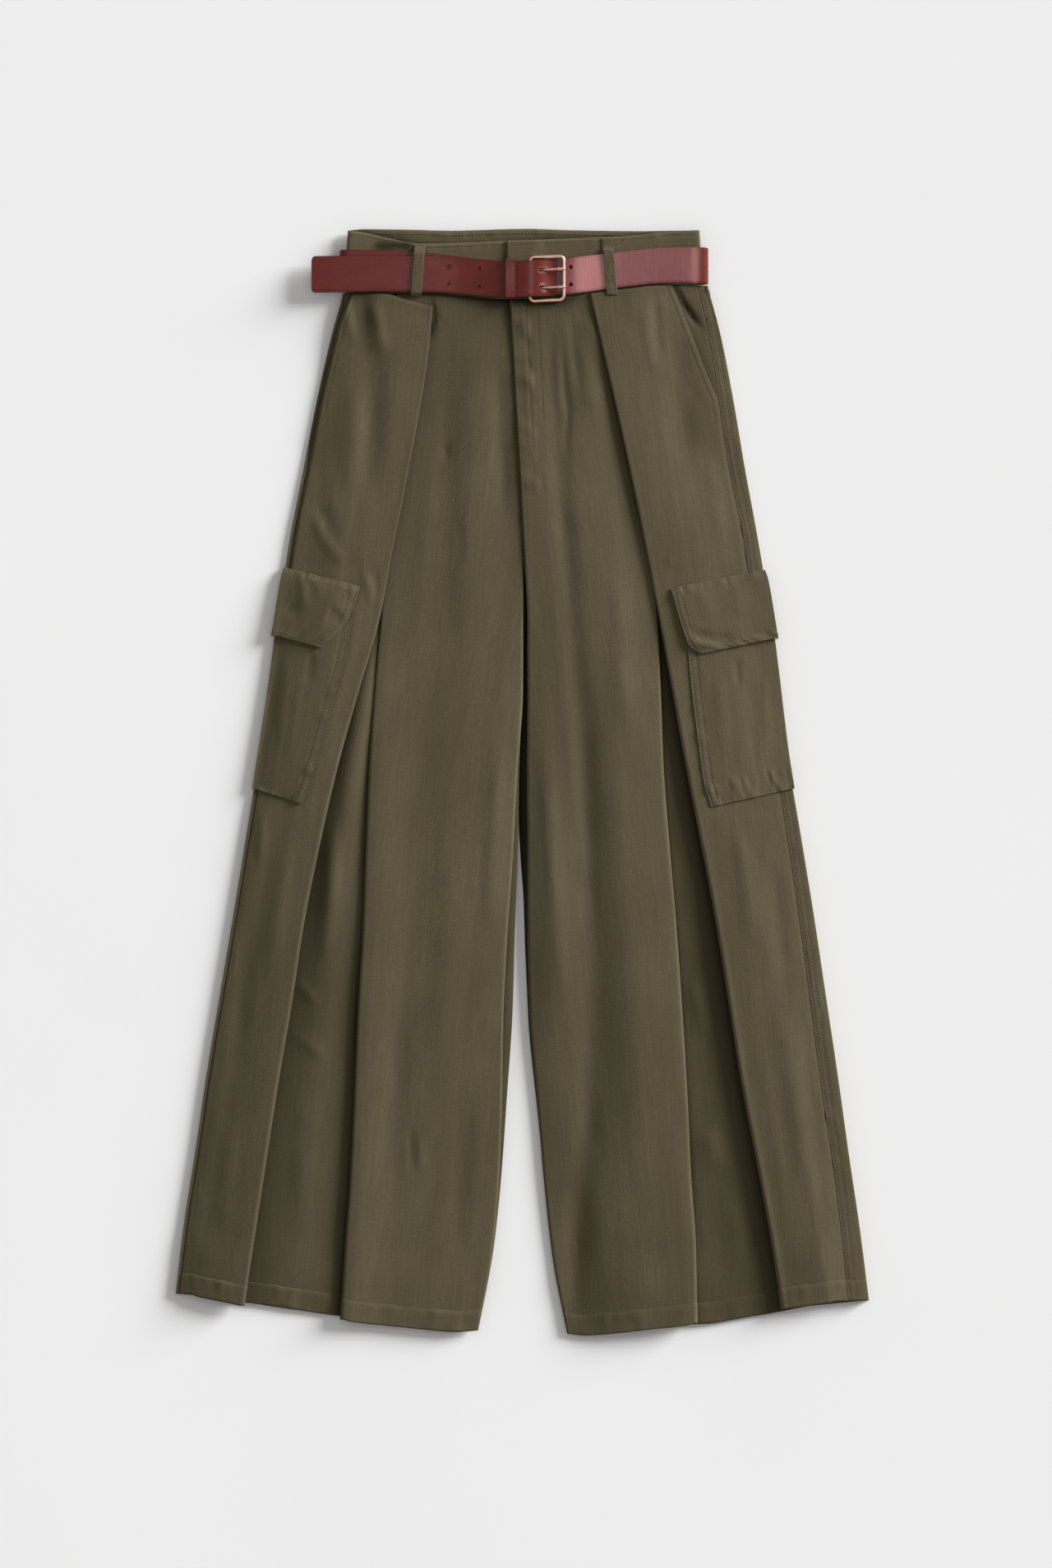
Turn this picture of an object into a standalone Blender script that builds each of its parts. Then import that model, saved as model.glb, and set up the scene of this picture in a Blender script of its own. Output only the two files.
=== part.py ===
"""Wide-leg cargo trousers with their own belt, laid out flat and face up.

Frame: metres, +Z up, origin on the surface under the middle of the trousers' box.
+Y runs from the hems to the waist, +X to the right of somebody looking down.

The garment is a stack of thin layers.  Back panels lie on the surface, and the front
panels lie on them.  Each front leg has one deep inverted box pleat: the cloth turns under
at the side panel's edge (fold1), runs back to a hidden turn, crosses below as the underlay,
turns again and comes out at the centre panel's edge (fold2).  One wall follows all of it.
All the sizes below are in millimetres; MM turns them into metres when a mesh is made.
"""
import math

import bpy
import numpy as np

MM = 0.001

# ---- cloth ---------------------------------------------------------------------------
CLOTH = 1.0            # twill wall
HEM_CLOTH = 1.8        # turned-up hem, two thicknesses of cloth
HEM_DEPTH = 20.5       # height of the turned-up hem
HEM_STEP = 0.003       # share of the leg over which the hem's edge thickens the wall
GAP = 0.3              # between pieces that touch
BACK_LIFT = 5.1        # how far the waistband and the belt under it raise the back panels
LIFT_FROM = 390.0      # height up the garment (y) where that rise starts
LIFT_TO = 484.0        # and where it ends
PLEAT_RETURN = 45.0    # depth of each turned-under layer of the pleat
POCKET_UNDERLAP = 24.0 # facing hidden under the slant pocket's edge
FACING_END = 9.0       # the facing stops this far above the pocket mouth's lower end
FACING_ROWS = 7
LEG_LENGTH = 1033.0    # waist seam to hem, along the leg

# ---- waistband -----------------------------------------------------------------------
BAND = 2.0             # doubled cloth
BACK_BAND_Z = 5.4      # middle of the band's back stretch
FRONT_BAND_Z = 8.1     # middle of its front stretch
OVER_BAND_Z = 10.4     # middle of the overlapping end at the centre front
BAND_LEFT = -176.6     # the folded sides of the band
BAND_RIGHT = 179.4
BAND_NARROWING = 0.985 # its top edge is a little shorter than its lower edge
UNDER_END = 5.0        # where the left end stops, under the overlap
OVER_END = -15.0       # where the right end stops, on top

# ---- belt ----------------------------------------------------------------------------
BELT_WIDTH = 36.5
LEATHER = 2.2
HOLE_ROWS = 17.5       # between the two rows of holes
HOLE_RADIUS = 1.6
KEEPER_WALL = 1.0
WIRE = 1.6             # radius of the buckle's wire
PRONG = 1.25           # radius of a prong

# Where each leg's edges run.  down: fraction of the way from the waist seam to the hem.
# The others are distances from the middle of the garment: its outline, the side seam, the
# two pleat edges and the inner leg, with the back panel's inner edge beside it.
LEG_COLUMNS = ("down", "outline", "side", "fold1", "fold2", "inner", "back_inner")
LEFT_LEG = (
    (0.00, 178.5, 175.5, 89.8, 125.0, -3.7, -2.6),
    (0.05, 192.0, 188.5, 94.5, 123.0, -4.1, -2.6),
    (0.11, 205.5, 202.5, 104.0, 125.0, -5.0, -2.6),
    (0.18, 219.0, 216.0, 117.0, 129.0, -3.4, -2.4),
    (0.25, 232.5, 229.5, 131.0, 135.0, -1.4, -1.4),
    (0.31, 241.0, 238.0, 142.0, 140.0, -0.9, -0.9),
    (0.38, 249.9, 246.9, 161.8, 146.5, -0.6, -0.6),
    (0.46, 262.0, 259.0, 184.0, 152.4, 4.9, 3.4),
    (0.54, 274.8, 271.8, 202.4, 155.9, 9.3, 4.4),
    (0.62, 287.8, 284.8, 218.2, 159.0, 15.0, 7.6),
    (0.70, 301.2, 298.2, 230.4, 163.8, 18.9, 10.0),
    (0.78, 314.6, 311.6, 243.9, 167.3, 20.1, 15.5),
    (0.86, 326.3, 323.3, 256.2, 171.4, 23.4, 21.4),
    (0.93, 337.2, 334.2, 266.8, 176.6, 30.4, 29.3),
    (1.00, 345.6, 342.8, 277.6, 180.8, 43.9, 43.5),
)
RIGHT_LEG = (
    (0.00, 184.5, 174.5, 68.0, 92.0, -12.7, 2.9),
    (0.05, 198.0, 186.0, 79.5, 99.0, -9.5, 2.9),
    (0.11, 210.0, 195.3, 93.5, 108.0, -6.0, 2.9),
    (0.18, 222.0, 206.0, 109.0, 118.5, -2.0, 3.4),
    (0.25, 235.0, 220.5, 123.5, 127.5, 2.0, 5.0),
    (0.31, 245.0, 228.5, 135.0, 133.5, 5.0, 5.2),
    (0.38, 254.1, 239.3, 147.7, 137.3, 5.2, 5.2),
    (0.46, 264.0, 251.0, 162.2, 140.3, 4.6, 4.6),
    (0.54, 277.4, 263.5, 177.9, 146.5, 5.3, 5.3),
    (0.62, 290.6, 275.4, 193.1, 153.4, 5.3, 5.3),
    (0.70, 302.7, 286.0, 206.1, 159.1, 7.8, 7.8),
    (0.78, 314.8, 296.4, 219.1, 164.0, 15.3, 15.3),
    (0.86, 326.1, 308.4, 234.6, 167.8, 22.3, 22.3),
    (0.93, 336.6, 317.3, 247.6, 172.6, 30.7, 30.7),
    (1.00, 345.6, 324.3, 258.7, 173.8, 44.7, 44.7),
)
# Where the hem crosses each edge, as a height up the garment.
LEFT_HEM = {"side": -511.3, "fold1": -522.8, "fold2": -536.6, "inner": -547.0,
            "underlay1": -520.0, "underlay2": -529.5, "back_inner": -541.0}
RIGHT_HEM = {"side": -518.0, "fold1": -526.0, "fold2": -540.0, "inner": -550.6,
             "underlay1": -529.0, "underlay2": -539.0, "back_inner": -547.0}
# Columns of points across a front leg.  Each lies a share of the way from one edge to
# another, and its hem lies a share of the way between two edges' hems.
FRONT_COLUMNS = (
    ("seam", "edge", "edge", 0.0, "side", "side", 0.0),
    ("side panel", "edge", "turn1", 0.5, "side", "side", 0.0),
    ("over turn1", "turn1", "fold1", 0.0, "side", "fold1", 0.25),
    ("side panel", "turn1", "fold1", 0.45, "side", "fold1", 0.6),
    ("side panel", "turn1", "fold1", 0.82, "side", "fold1", 0.9),
    ("fold1 upper", "fold1", "round1", 1.0, "fold1", "fold1", 0.0),
    ("fold1", "fold1", "fold1", 0.0, "fold1", "fold1", 0.0),
    ("fold1 lower", "fold1", "round1", 1.0, "fold1", "fold1", 0.0),
    ("return1", "fold1", "turn1", 0.5, "fold1", "side", 0.4),
    ("turn1 upper", "turn1", "turn1", 0.0, "fold1", "side", 0.75),
    ("turn1 lower", "turn1", "turn1", 0.0, "fold1", "side", 0.75),
    ("underlay", "turn1", "turn2", 0.33, "underlay1", "underlay1", 0.0),
    ("underlay", "turn1", "turn2", 0.5, "underlay1", "underlay2", 0.5),
    ("underlay", "turn1", "turn2", 0.67, "underlay2", "underlay2", 0.0),
    ("turn2 lower", "turn2", "turn2", 0.0, "fold2", "inner", 0.25),
    ("turn2 upper", "turn2", "turn2", 0.0, "fold2", "inner", 0.25),
    ("return2", "turn2", "fold2", 0.5, "fold2", "inner", 0.12),
    ("fold2 lower", "fold2", "round2", 1.0, "fold2", "fold2", 0.0),
    ("fold2", "fold2", "fold2", 0.0, "fold2", "fold2", 0.0),
    ("fold2 upper", "fold2", "round2", 1.0, "fold2", "fold2", 0.0),
    ("centre panel", "fold2", "turn2", 0.25, "fold2", "inner", 0.06),
    ("over turn2", "turn2", "turn2", 0.0, "fold2", "inner", 0.33),
    ("centre panel", "turn2", "inner", 0.4, "fold2", "inner", 0.7),
    ("centre panel", "turn2", "inner", 0.78, "fold2", "inner", 0.95),
    ("inseam", "inner", "inner", 0.0, "inner", "inner", 0.0),
)
# Columns of points across a back leg, as shares of the way from its inseam to its outline.
BACK_SPREAD = (0.0, 0.12, 0.5, 0.85)
# The left side panel droops from the band beside its pleat: how far each column starts low.
LEFT_DROOP = {2: 1.0, 3: 6.5, 4: 10.8, 5: 11.6, 6: 11.6, 7: 11.6, 8: 6.5, 9: 1.5, 10: 1.0}
# Slant pocket edges, as distance from the middle at a height up the garment.
LEFT_OPENING = ((491.0, 169.5), (455.0, 183.5), (431.0, 191.5), (398.0, 199.5), (370.0, 209.0))
RIGHT_OPENING = ((500.0, 147.0), (476.8, 156.7), (447.3, 168.5), (415.3, 180.6),
                 (387.4, 192.3), (366.0, 203.0))

FACING_RAISE = 1.2     # how far the seam at the waist climbs over the facing's end
FLY_RAISE = 1.5        # the fly's edge lies over the other leg's
FLY_WAIST_RAISE = 1.3  # and a little higher where the band crosses it
PUFF = 1.6             # how far the centre panel bellies up once the pleat is open

# How high the pleat edges stand once the pleat has opened, and how round they are.
PLEAT_COLUMNS = ("down", "open", "edge1", "round1", "edge2", "round2")
PLEAT = (
    (0.00, 0.0, 7.0, 0.65, 4.4, 0.65),
    (0.27, 0.0, 7.4, 0.75, 4.4, 0.65),
    (0.33, 0.25, 9.2, 1.3, 5.4, 0.9),
    (0.39, 0.75, 11.4, 1.8, 7.2, 1.3),
    (0.47, 1.0, 13.0, 2.1, 8.2, 1.6),
    (0.62, 1.0, 14.0, 2.2, 9.0, 1.7),
    (0.80, 1.0, 13.5, 2.2, 9.0, 1.7),
    (0.93, 1.0, 13.0, 2.3, 10.0, 1.9),
    (1.00, 1.0, 13.2, 2.5, 11.0, 2.1),
)
LEG_STATIONS = (0.0, 0.02, 0.04, 0.06, 0.085, 0.11, 0.14, 0.18, 0.22, 0.26, 0.30, 0.34, 0.38,
                0.43, 0.49, 0.56, 0.63, 0.70, 0.77, 0.84, 0.90, 0.95)

# Waistband: where it runs, seen from above.
BAND_TOP_FRONT = ((-175.4, 548.8), (-162.8, 547.6), (-135.1, 541.6), (-108.7, 536.4),
                  (-97.2, 535.6), (-65.2, 536.4), (-16.8, 538.5), (75.0, 541.9),
                  (116.0, 544.4), (141.0, 547.6), (179.8, 549.2))
BAND_TOP_BACK = ((-175.4, 548.8), (-155.6, 550.2), (-112.0, 549.8), (-73.6, 548.8),
                 (3.7, 550.6), (52.9, 549.2), (118.5, 548.4), (179.8, 549.2))
BAND_LOW_FRONT = ((-180.0, 486.4), (-150.0, 486.6), (-104.0, 486.0), (-70.0, 484.4),
                  (-38.5, 481.6), (-12.0, 480.4), (28.0, 481.7), (45.0, 483.5),
                  (80.0, 487.8), (111.8, 491.8), (139.6, 494.4), (184.0, 494.2))
BAND_LOW_BACK = ((-180.0, 486.4), (-120.0, 493.0), (-60.0, 494.3), (184.0, 494.3))
BAND_FRONT_LEFT = (UNDER_END, -18.0, -42.0, -65.0, -85.0, -100.0, -112.0, -124.0, -137.0,
                   -150.0, -163.0, -173.0)
BAND_BACK = (-165.0, -140.0, -112.0, -73.6, 3.7, 52.9, 118.5, 160.0)
BAND_FRONT_RIGHT = (172.0, 156.0, 141.0, 116.0, 83.0, 58.0, 42.0, 30.0, 22.0, 14.0, 8.0, -4.0,
                    OVER_END)

# Belt: its route from the buckle round the back to the tip, along the middle of the strap.
# place, x, y, z of the strap's middle; z rises over the keeper and the buckle's hinge bar.
BELT_ROUTE = (
    ("hinge end", 4.4, 499.9, 14.9), ("keeper", -7.0, 500.1, 14.6),
    ("keeper", -18.0, 500.3, 14.2), ("left front", -38.5, 501.6, 12.1),
    ("left loop", -70.0, 505.6, 10.6), ("left loop", -104.0, 509.2, 10.5),
    ("left front", -150.0, 511.0, 10.5), ("left turn", -175.5, 511.5, 10.5),
    ("left turn", -179.2, 511.6, 9.5), ("left turn", -181.0, 511.7, 6.4),
    ("left turn", -179.2, 511.8, 3.4), ("left turn", -175.5, 511.9, 2.4),
    ("back", 0.0, 512.0, 2.4), ("right turn", 178.5, 512.8, 2.4),
    ("right turn", 182.6, 513.2, 3.4), ("right turn", 184.4, 513.5, 6.4),
    ("right turn", 182.6, 513.7, 9.5), ("right turn", 178.5, 513.9, 10.5),
    ("right front", 160.0, 514.5, 10.5), ("right front", 139.6, 514.2, 10.5),
    ("right loop", 111.8, 511.6, 10.5), ("right loop", 80.0, 507.6, 10.5),
    ("outer bar", 45.0, 503.2, 10.5), ("outer bar", 34.0, 502.2, 10.9),
    ("prongs", 28.0, 501.7, 12.3), ("prongs", 24.5, 501.4, 14.1),
    ("prongs", 20.5, 501.1, 16.6), ("hinge bar", 15.5, 500.8, 18.6),
    ("hinge bar", 8.0, 500.4, 19.4), ("hinge bar", 1.0, 500.1, 18.9),
    ("keeper", -7.0, 500.0, 17.8), ("keeper", -18.0, 500.2, 16.7),
    ("left front", -38.5, 501.2, 14.8), ("left loop", -70.0, 504.0, 13.2),
    ("left loop", -104.0, 505.4, 13.1), ("left front", -150.0, 505.8, 13.1),
    ("left edge", -185.0, 505.3, 13.0), ("tip", -210.0, 504.9, 12.6),
)
STRAP_STEP = 13.0      # rows along the strap where it is nearly straight
BACK_STRAP_STEP = 39.0 # and behind the waist, where it is straight
HOLES_X = (-73.1, -42.4, -6.0, 48.5)
TIP_CORNER = 3.0

# Buckle: a bent wire frame, and two prongs that lie on its outer bar.
HINGE_X, HINGE_Z = 7.8, 14.9
OUTER_X, OUTER_Z = 41.4, 13.6
FRAME_HALF_HEIGHT = 21.7
FRAME_CORNER = 4.5
BUCKLE_X, BUCKLE_Y = 24.6, 500.6
BUCKLE_SLOPE = 0.045   # the buckle leans with the belt
PRONG_APART = 8.9      # each prong's distance from the middle of the buckle
SLOT_WIDTH = 3.4       # slots in the leather that the prongs pass through
STRAP_SLOT_X, STRAP_SLOT_Z = (16.6, 25.4), (10.0, 22.0)
FOLD_SLOT_X = (HINGE_X + 1.0, HINGE_X + 5.0)
FOLD_SLOT_Z = (HINGE_Z - 1.9, HINGE_Z + 1.9)
FOLD_LEATHER = 1.0     # the strap's end is pared thin where it wraps the hinge bar
FOLD_SIDES = 14
PRONG_ROUTE = ((10.0, 14.9, 1.0), (16.8, 14.7, 1.0), (20.5, 15.7, 1.0), (24.5, 16.6, 1.0),
               (30.0, 16.8, 1.0), (34.4, 16.9, 1.0), (35.2, 17.4, 1.5), (43.4, 17.4, 1.5))
KEEPER = {"x": (-17.0, -7.0), "y": (480.9, 519.6), "z": (12.2, 20.2)}
KEEPER_CORNER = 1.6

# Belt loops: (y, z) along each one, and the x of its middle at top and bottom.
LOOP_WIDTH = 10.5
LOOP_LEFT = {"x": (-102.2, -106.0), "path": ((534.4, 9.9), (532.4, 10.2), (530.6, 12.8),
             (527.6, 14.4), (525.0, 15.3), (505.0, 15.3), (488.0, 15.3), (485.7, 14.6),
             (484.6, 12.8), (483.2, 11.4))}
LOOP_RIGHT = {"x": (84.4, 89.8), "path": ((541.2, 9.9), (534.0, 9.9), (531.6, 10.3),
              (529.8, 12.2), (527.6, 12.9), (508.0, 12.8), (495.0, 12.9), (491.0, 13.7),
              (484.6, 13.7))}
LOOP_BACK = ((534.5, 3.4), (532.6, 2.9), (531.6, 0.5), (512.0, 0.5), (492.4, 0.5),
             (491.4, 2.2), (488.5, 3.0))
LOOP_BACK_X = {"left": -105.0, "centre": 4.0, "right": 110.0}

# Cargo pockets: each row is the front edge's x and y, then y where the row meets the side.
POCKET_COLUMNS = ("front_x", "front_y", "side_y")
LEFT_POCKET = ((165.0, 182.0, 200.0), (170.0, 160.0, 180.0), (176.7, 121.8, 140.0),
               (188.0, 82.0, 96.0), (197.0, 50.0, 62.0), (208.7, 9.4, 22.0),
               (216.0, -14.0, 0.5), (219.5, -22.6, -7.4))
RIGHT_POCKET = ((162.0, 168.0, 184.0), (164.0, 146.0, 162.0), (166.5, 116.0, 132.0),
                (169.2, 87.7, 102.0), (175.4, 38.1, 54.0), (181.6, -4.5, 12.0),
                (186.0, -19.0, -1.0), (188.2, -25.5, -7.4))
# Flaps: the same columns; the cut corner is where the front edge runs in at the bottom.
LEFT_FLAP = ((161.3, 193.5, 212.8), (164.0, 187.0, 203.0), (168.5, 173.0, 186.0),
             (175.0, 158.5, 169.0), (185.5, 145.5, 154.5), (201.3, 132.6, 144.7))
RIGHT_FLAP = ((147.8, 191.8, 210.3), (150.5, 184.0, 202.0), (155.0, 167.7, 186.0),
              (160.5, 150.0, 166.0), (167.0, 134.5, 150.0), (179.8, 127.0, 142.0))
POCKET_SPREAD = (0.0, 0.07, 0.26, 0.45, 0.64, 0.82, 0.965)
POCKET_ABOVE = CLOTH + GAP + 0.35   # pocket's cloth over the panel's, with room on slopes
FLAP_STEP = 0.45       # the flap stands off a little more with each row
POCKET_SWELL, FLAP_SWELL = 1.6, 1.2

COLOURS = {
    "cloth": ((0.092, 0.077, 0.045), 0.92, 0.0),
    "leather": ((0.115, 0.028, 0.024), 0.45, 0.0),
    "rose_gold": ((0.80, 0.48, 0.36), 0.28, 1.0),
}


# ---- curves and tables ---------------------------------------------------------------
def through(stops, values, at):
    """A smooth curve through a table's values, with no overshoot between them."""
    stops = np.asarray(stops, float)
    values = np.asarray(values, float)
    step = np.diff(stops)
    slope = np.diff(values) / step
    tangent = np.empty(len(stops))
    tangent[0], tangent[-1] = slope[0], slope[-1]
    same = slope[:-1] * slope[1:] > 0
    total = slope[:-1] + slope[1:]
    tangent[1:-1] = np.where(same, 2 * slope[:-1] * slope[1:] / np.where(same, total, 1), 0)
    i = np.clip(np.searchsorted(stops, at) - 1, 0, len(step) - 1)
    t = np.clip((at - stops[i]) / step[i], 0, 1)
    a = (1 + 2 * t) * (1 - t) ** 2 * values[i] + t * t * (3 - 2 * t) * values[i + 1]
    b = t * (1 - t) ** 2 * tangent[i] - t * t * (1 - t) * tangent[i + 1]
    return a + b * step[i]


def mix(a, b, t):
    return a + (b - a) * t


def ease(low, high, value):
    t = min(max((value - low) / (high - low), 0.0), 1.0)
    return t * t * (3 - 2 * t)


def curve_table(rows):
    """Turn rows of (x, y) into a function of x."""
    xs, ys = zip(*sorted(rows))
    return lambda x: float(through(xs, ys, x))


class Leg:
    """One leg: its tables, and the side of the garment that it is on."""

    def __init__(self, side, rows, hem, opening, droop):
        self.side = side
        self.rows = np.array(rows)
        self.hem = hem
        self.droop = droop
        self.opening = curve_table(opening)
        self.opening_low = min(y for y, _ in opening)

    def at(self, edge, down):
        column = LEG_COLUMNS.index(edge)
        return float(through(self.rows[:, 0], self.rows[:, column], down))

    def waist(self, x):
        """Height of the seam under the waistband, x measured outwards."""
        return LOW_FRONT(self.side * x) - GAP

    def side_height(self, down):
        return mix(self.waist(self.at("side", 0.0)), self.hem["side"], down)

    def side_down(self, y):
        """The fraction of the way down that the side seam has come at a height."""
        top = self.waist(self.at("side", 0.0))
        return (top - y) / (top - self.hem["side"])

    def pleat(self, name, down):
        table = np.array(PLEAT)
        return float(through(table[:, 0], table[:, PLEAT_COLUMNS.index(name)], down))

    def edge(self, down):
        """The front panel's outer edge: the slant pocket, then the side seam."""
        y = self.side_height(down)
        side = self.at("side", down)
        if y < self.opening_low:
            return side
        return min(side, self.opening(y))


TOP_FRONT, TOP_BACK = curve_table(BAND_TOP_FRONT), curve_table(BAND_TOP_BACK)
LOW_FRONT, LOW_BACK = curve_table(BAND_LOW_FRONT), curve_table(BAND_LOW_BACK)
LEFT = Leg(-1, LEFT_LEG, LEFT_HEM, LEFT_OPENING, LEFT_DROOP)
RIGHT = Leg(1, RIGHT_LEG, RIGHT_HEM, RIGHT_OPENING, {})


def lift(y):
    """The back panels climb over the belt and the waistband near the waist."""
    return BACK_LIFT * ease(LIFT_FROM, LIFT_TO, y)


def rise(y):
    """The front climbs with the back, and a little clear of it on the slope."""
    slope = ease(LIFT_FROM - 30, LIFT_FROM, y) * (1 - ease(LIFT_TO - 8, LIFT_TO + 4, y))
    return lift(y) + 0.35 * slope


def wall(down):
    """The cloth's thickness: doubled where the hem is turned up."""
    return HEM_CLOTH if down > 1 - HEM_DEPTH / LEG_LENGTH - HEM_STEP / 2 else CLOTH


def layer(number, down):
    """Middle of a layer of the front, counted up from the back panel, which is layer 0.

    The layers spread just before the hems, so that the turned-up cloth has room.
    """
    room = mix(CLOTH, HEM_CLOTH, ease(0.92, 0.965, down))
    return (number + 0.5) * room + number * GAP


# ---- meshes --------------------------------------------------------------------------
def material(slot):
    found = bpy.data.materials.get(slot)
    if found:
        return found
    colour, roughness, metallic = COLOURS[slot]
    made = bpy.data.materials.new(slot)
    made.use_nodes = True
    shader = made.node_tree.nodes["Principled BSDF"]
    shader.inputs["Base Color"].default_value = (*colour, 1.0)
    shader.inputs["Roughness"].default_value = roughness
    shader.inputs["Metallic"].default_value = metallic
    return made


def add_object(name, mesh, slot, collection):
    made = bpy.data.objects.new(name, mesh)
    mesh.materials.append(material(slot))
    collection.objects.link(made)
    return made


def sheet(name, grid, thickness, slot, collection, closed=False, thin_rows=None):
    """A wall of cloth or leather on a grid of points: rows along it, columns across it.

    thin_rows gives each row's share of the thickness where the wall isn't even.
    """
    grid = np.array(grid, float) * MM
    rows, columns = grid.shape[:2]
    mesh = bpy.data.meshes.new(name)
    faces = []
    for r in range(rows if closed else rows - 1):
        for c in range(columns - 1):
            here, there = r * columns + c, (r + 1) % rows * columns + c
            faces.append((here, here + 1, there + 1, there))
    mesh.from_pydata(grid.reshape(-1, 3).tolist(), [], faces)
    made = add_object(name, mesh, slot, collection)
    solid = made.modifiers.new("wall", "SOLIDIFY")
    solid.thickness = thickness * MM
    solid.offset = 0.0
    solid.use_even_offset = True
    solid.use_quality_normals = True
    if thin_rows is not None:
        group = made.vertex_groups.new(name="share")
        for r, share in enumerate(thin_rows):
            group.add(list(range(r * columns, (r + 1) * columns)), share, "REPLACE")
        solid.vertex_group = "share"
    mesh.shade_smooth()
    mesh.set_sharp_from_angle(angle=math.radians(40))
    return made


def cut(target, cutter, cutters):
    """Take a cutter's shape out of a piece, and keep the cutter as a guide."""
    cutter.hide_render = True
    cutter.display_type = "WIRE"
    for owner in list(cutter.users_collection):
        owner.objects.unlink(cutter)
    cutters.objects.link(cutter)
    boolean = target.modifiers.new("cut", "BOOLEAN")
    boolean.object = cutter
    boolean.operation = "DIFFERENCE"


def wire(name, points, radius, slot, collection, cyclic=False, sides=2):
    """A bent wire through points, as a curve with filled caps."""
    curve = bpy.data.curves.new(name, "CURVE")
    curve.dimensions = "3D"
    curve.bevel_depth = radius * MM
    curve.bevel_resolution = sides
    curve.use_fill_caps = True
    spline = curve.splines.new("POLY")
    spline.points.add(len(points) - 1)
    for point, place in zip(spline.points, points):
        point.co = (*(np.array(place) * MM), 1.0)
    spline.use_cyclic_u = cyclic
    curve.materials.append(material(slot))
    made = bpy.data.objects.new(name, curve)
    collection.objects.link(made)
    return made


# ---- legs ----------------------------------------------------------------------------
def leg_downs():
    """Where the sections are: the table's stations, then both sides of the hem's stitching."""
    stitching = 1 - HEM_DEPTH / LEG_LENGTH
    return LEG_STATIONS + (stitching - HEM_STEP, stitching, 1.0)


def front_edges(leg, down):
    """Where the named edges of a front leg are, as distances from the middle."""
    least = (wall(down) + GAP) / 2
    edges = {name: leg.at(name, down) for name in ("fold1", "fold2", "inner")}
    edges["edge"] = leg.edge(down)
    edges["turn1"] = edges["fold1"] + PLEAT_RETURN
    edges["turn2"] = edges["fold2"] - PLEAT_RETURN
    edges["round1"] = edges["fold1"] + max(leg.pleat("round1", down), least)
    edges["round2"] = edges["fold2"] - max(leg.pleat("round2", down), least)
    return edges


def front_levels(leg, down, edges):
    """Height of each column's cloth over the lie of the back panel."""
    under, upper2, upper3, upper4, upper5 = (layer(number, down) for number in range(1, 6))
    opened = leg.pleat("open", down)
    waist = 1 - ease(0.0, 0.05, down)
    pocket = 1 - ease(0.135, 0.175, down)
    fly = (1 - ease(0.30, 0.36, down)) if leg.side > 0 else 0.0
    edge1, edge2 = leg.pleat("edge1", down), leg.pleat("edge2", down)
    low1 = edge1 - 2 * (edges["round1"] - edges["fold1"])
    low2 = edge2 - 2 * (edges["fold2"] - edges["round2"])
    over1, back1 = mix(upper5, upper3 + 0.3, opened), mix(upper4, upper2, opened)
    over2 = upper3 + 0.3 * opened
    seam = under + FACING_RAISE * waist + (wall(down) + GAP) * pocket
    inner = under + FACING_RAISE * waist + fly * (FLY_RAISE + FLY_WAIST_RAISE * waist)
    puff = PUFF * opened
    return (seam, mix(seam, over1, 0.42) + 0.4 * opened, over1, mix(over1, edge1, 0.55),
            mix(over1, edge1, 0.94), edge1, (edge1 + low1) / 2, low1, mix(low1, back1, 0.55),
            back1, under, under, under, under, under, upper2, mix(upper2, low2, 0.45), low2,
            (edge2 + low2) / 2, edge2, mix(edge2, over2, 0.1), over2,
            mix(over2, inner, 0.5) + puff, inner + 0.7 * puff, inner)


def front_section(leg, down):
    """Points across a front leg, from its side seam, round the pleat, to its inseam."""
    top, here = front_edges(leg, 0.0), front_edges(leg, down)
    levels = front_levels(leg, down, here)
    points = []
    for n, (_, start, end, share, hem_start, hem_end, hem_share) in enumerate(FRONT_COLUMNS):
        x = mix(here[start], here[end], share)
        waist = leg.waist(mix(top[start], top[end], share)) - leg.droop.get(n, 0.0)
        hem = mix(leg.hem[hem_start], leg.hem[hem_end], hem_share)
        y = mix(waist, hem, down)
        points.append((leg.side * x, y, levels[n] + rise(y)))
    return points


def shares(downs):
    return [wall(down) / HEM_CLOTH for down in downs]


def front_leg(name, leg, collection):
    downs = leg_downs()
    grid = [front_section(leg, down) for down in downs]
    sheet(name, grid, HEM_CLOTH, "cloth", collection, thin_rows=shares(downs))


def back_section(leg, down):
    """Points across a back leg: flat on the surface, then turned up round the side."""
    outline, side = leg.at("outline", down), leg.at("side", down)
    inner = leg.at("back_inner", down)
    low, high = wall(down) / 2, layer(1, down)
    turn = outline - wall(down) / 2
    points = []
    for share in BACK_SPREAD:
        waist = mix(LOW_BACK(0.0) - GAP, leg.waist(leg.at("side", 0.0)), share ** 2)
        hem = mix(leg.hem["back_inner"], leg.hem["side"], share)
        points.append((mix(inner, turn, share), mix(waist, hem, down), low))
    y_side = leg.side_height(down)
    points += [(turn, y_side, low), (turn, y_side, high), (side + GAP, y_side, high)]
    return [(leg.side * x, y, z + lift(y)) for x, y, z in points]


def back_leg(name, leg, collection):
    downs = leg_downs()
    grid = [back_section(leg, down)[::-1] for down in downs]
    sheet(name, grid, HEM_CLOTH, "cloth", collection, thin_rows=shares(downs))


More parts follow.
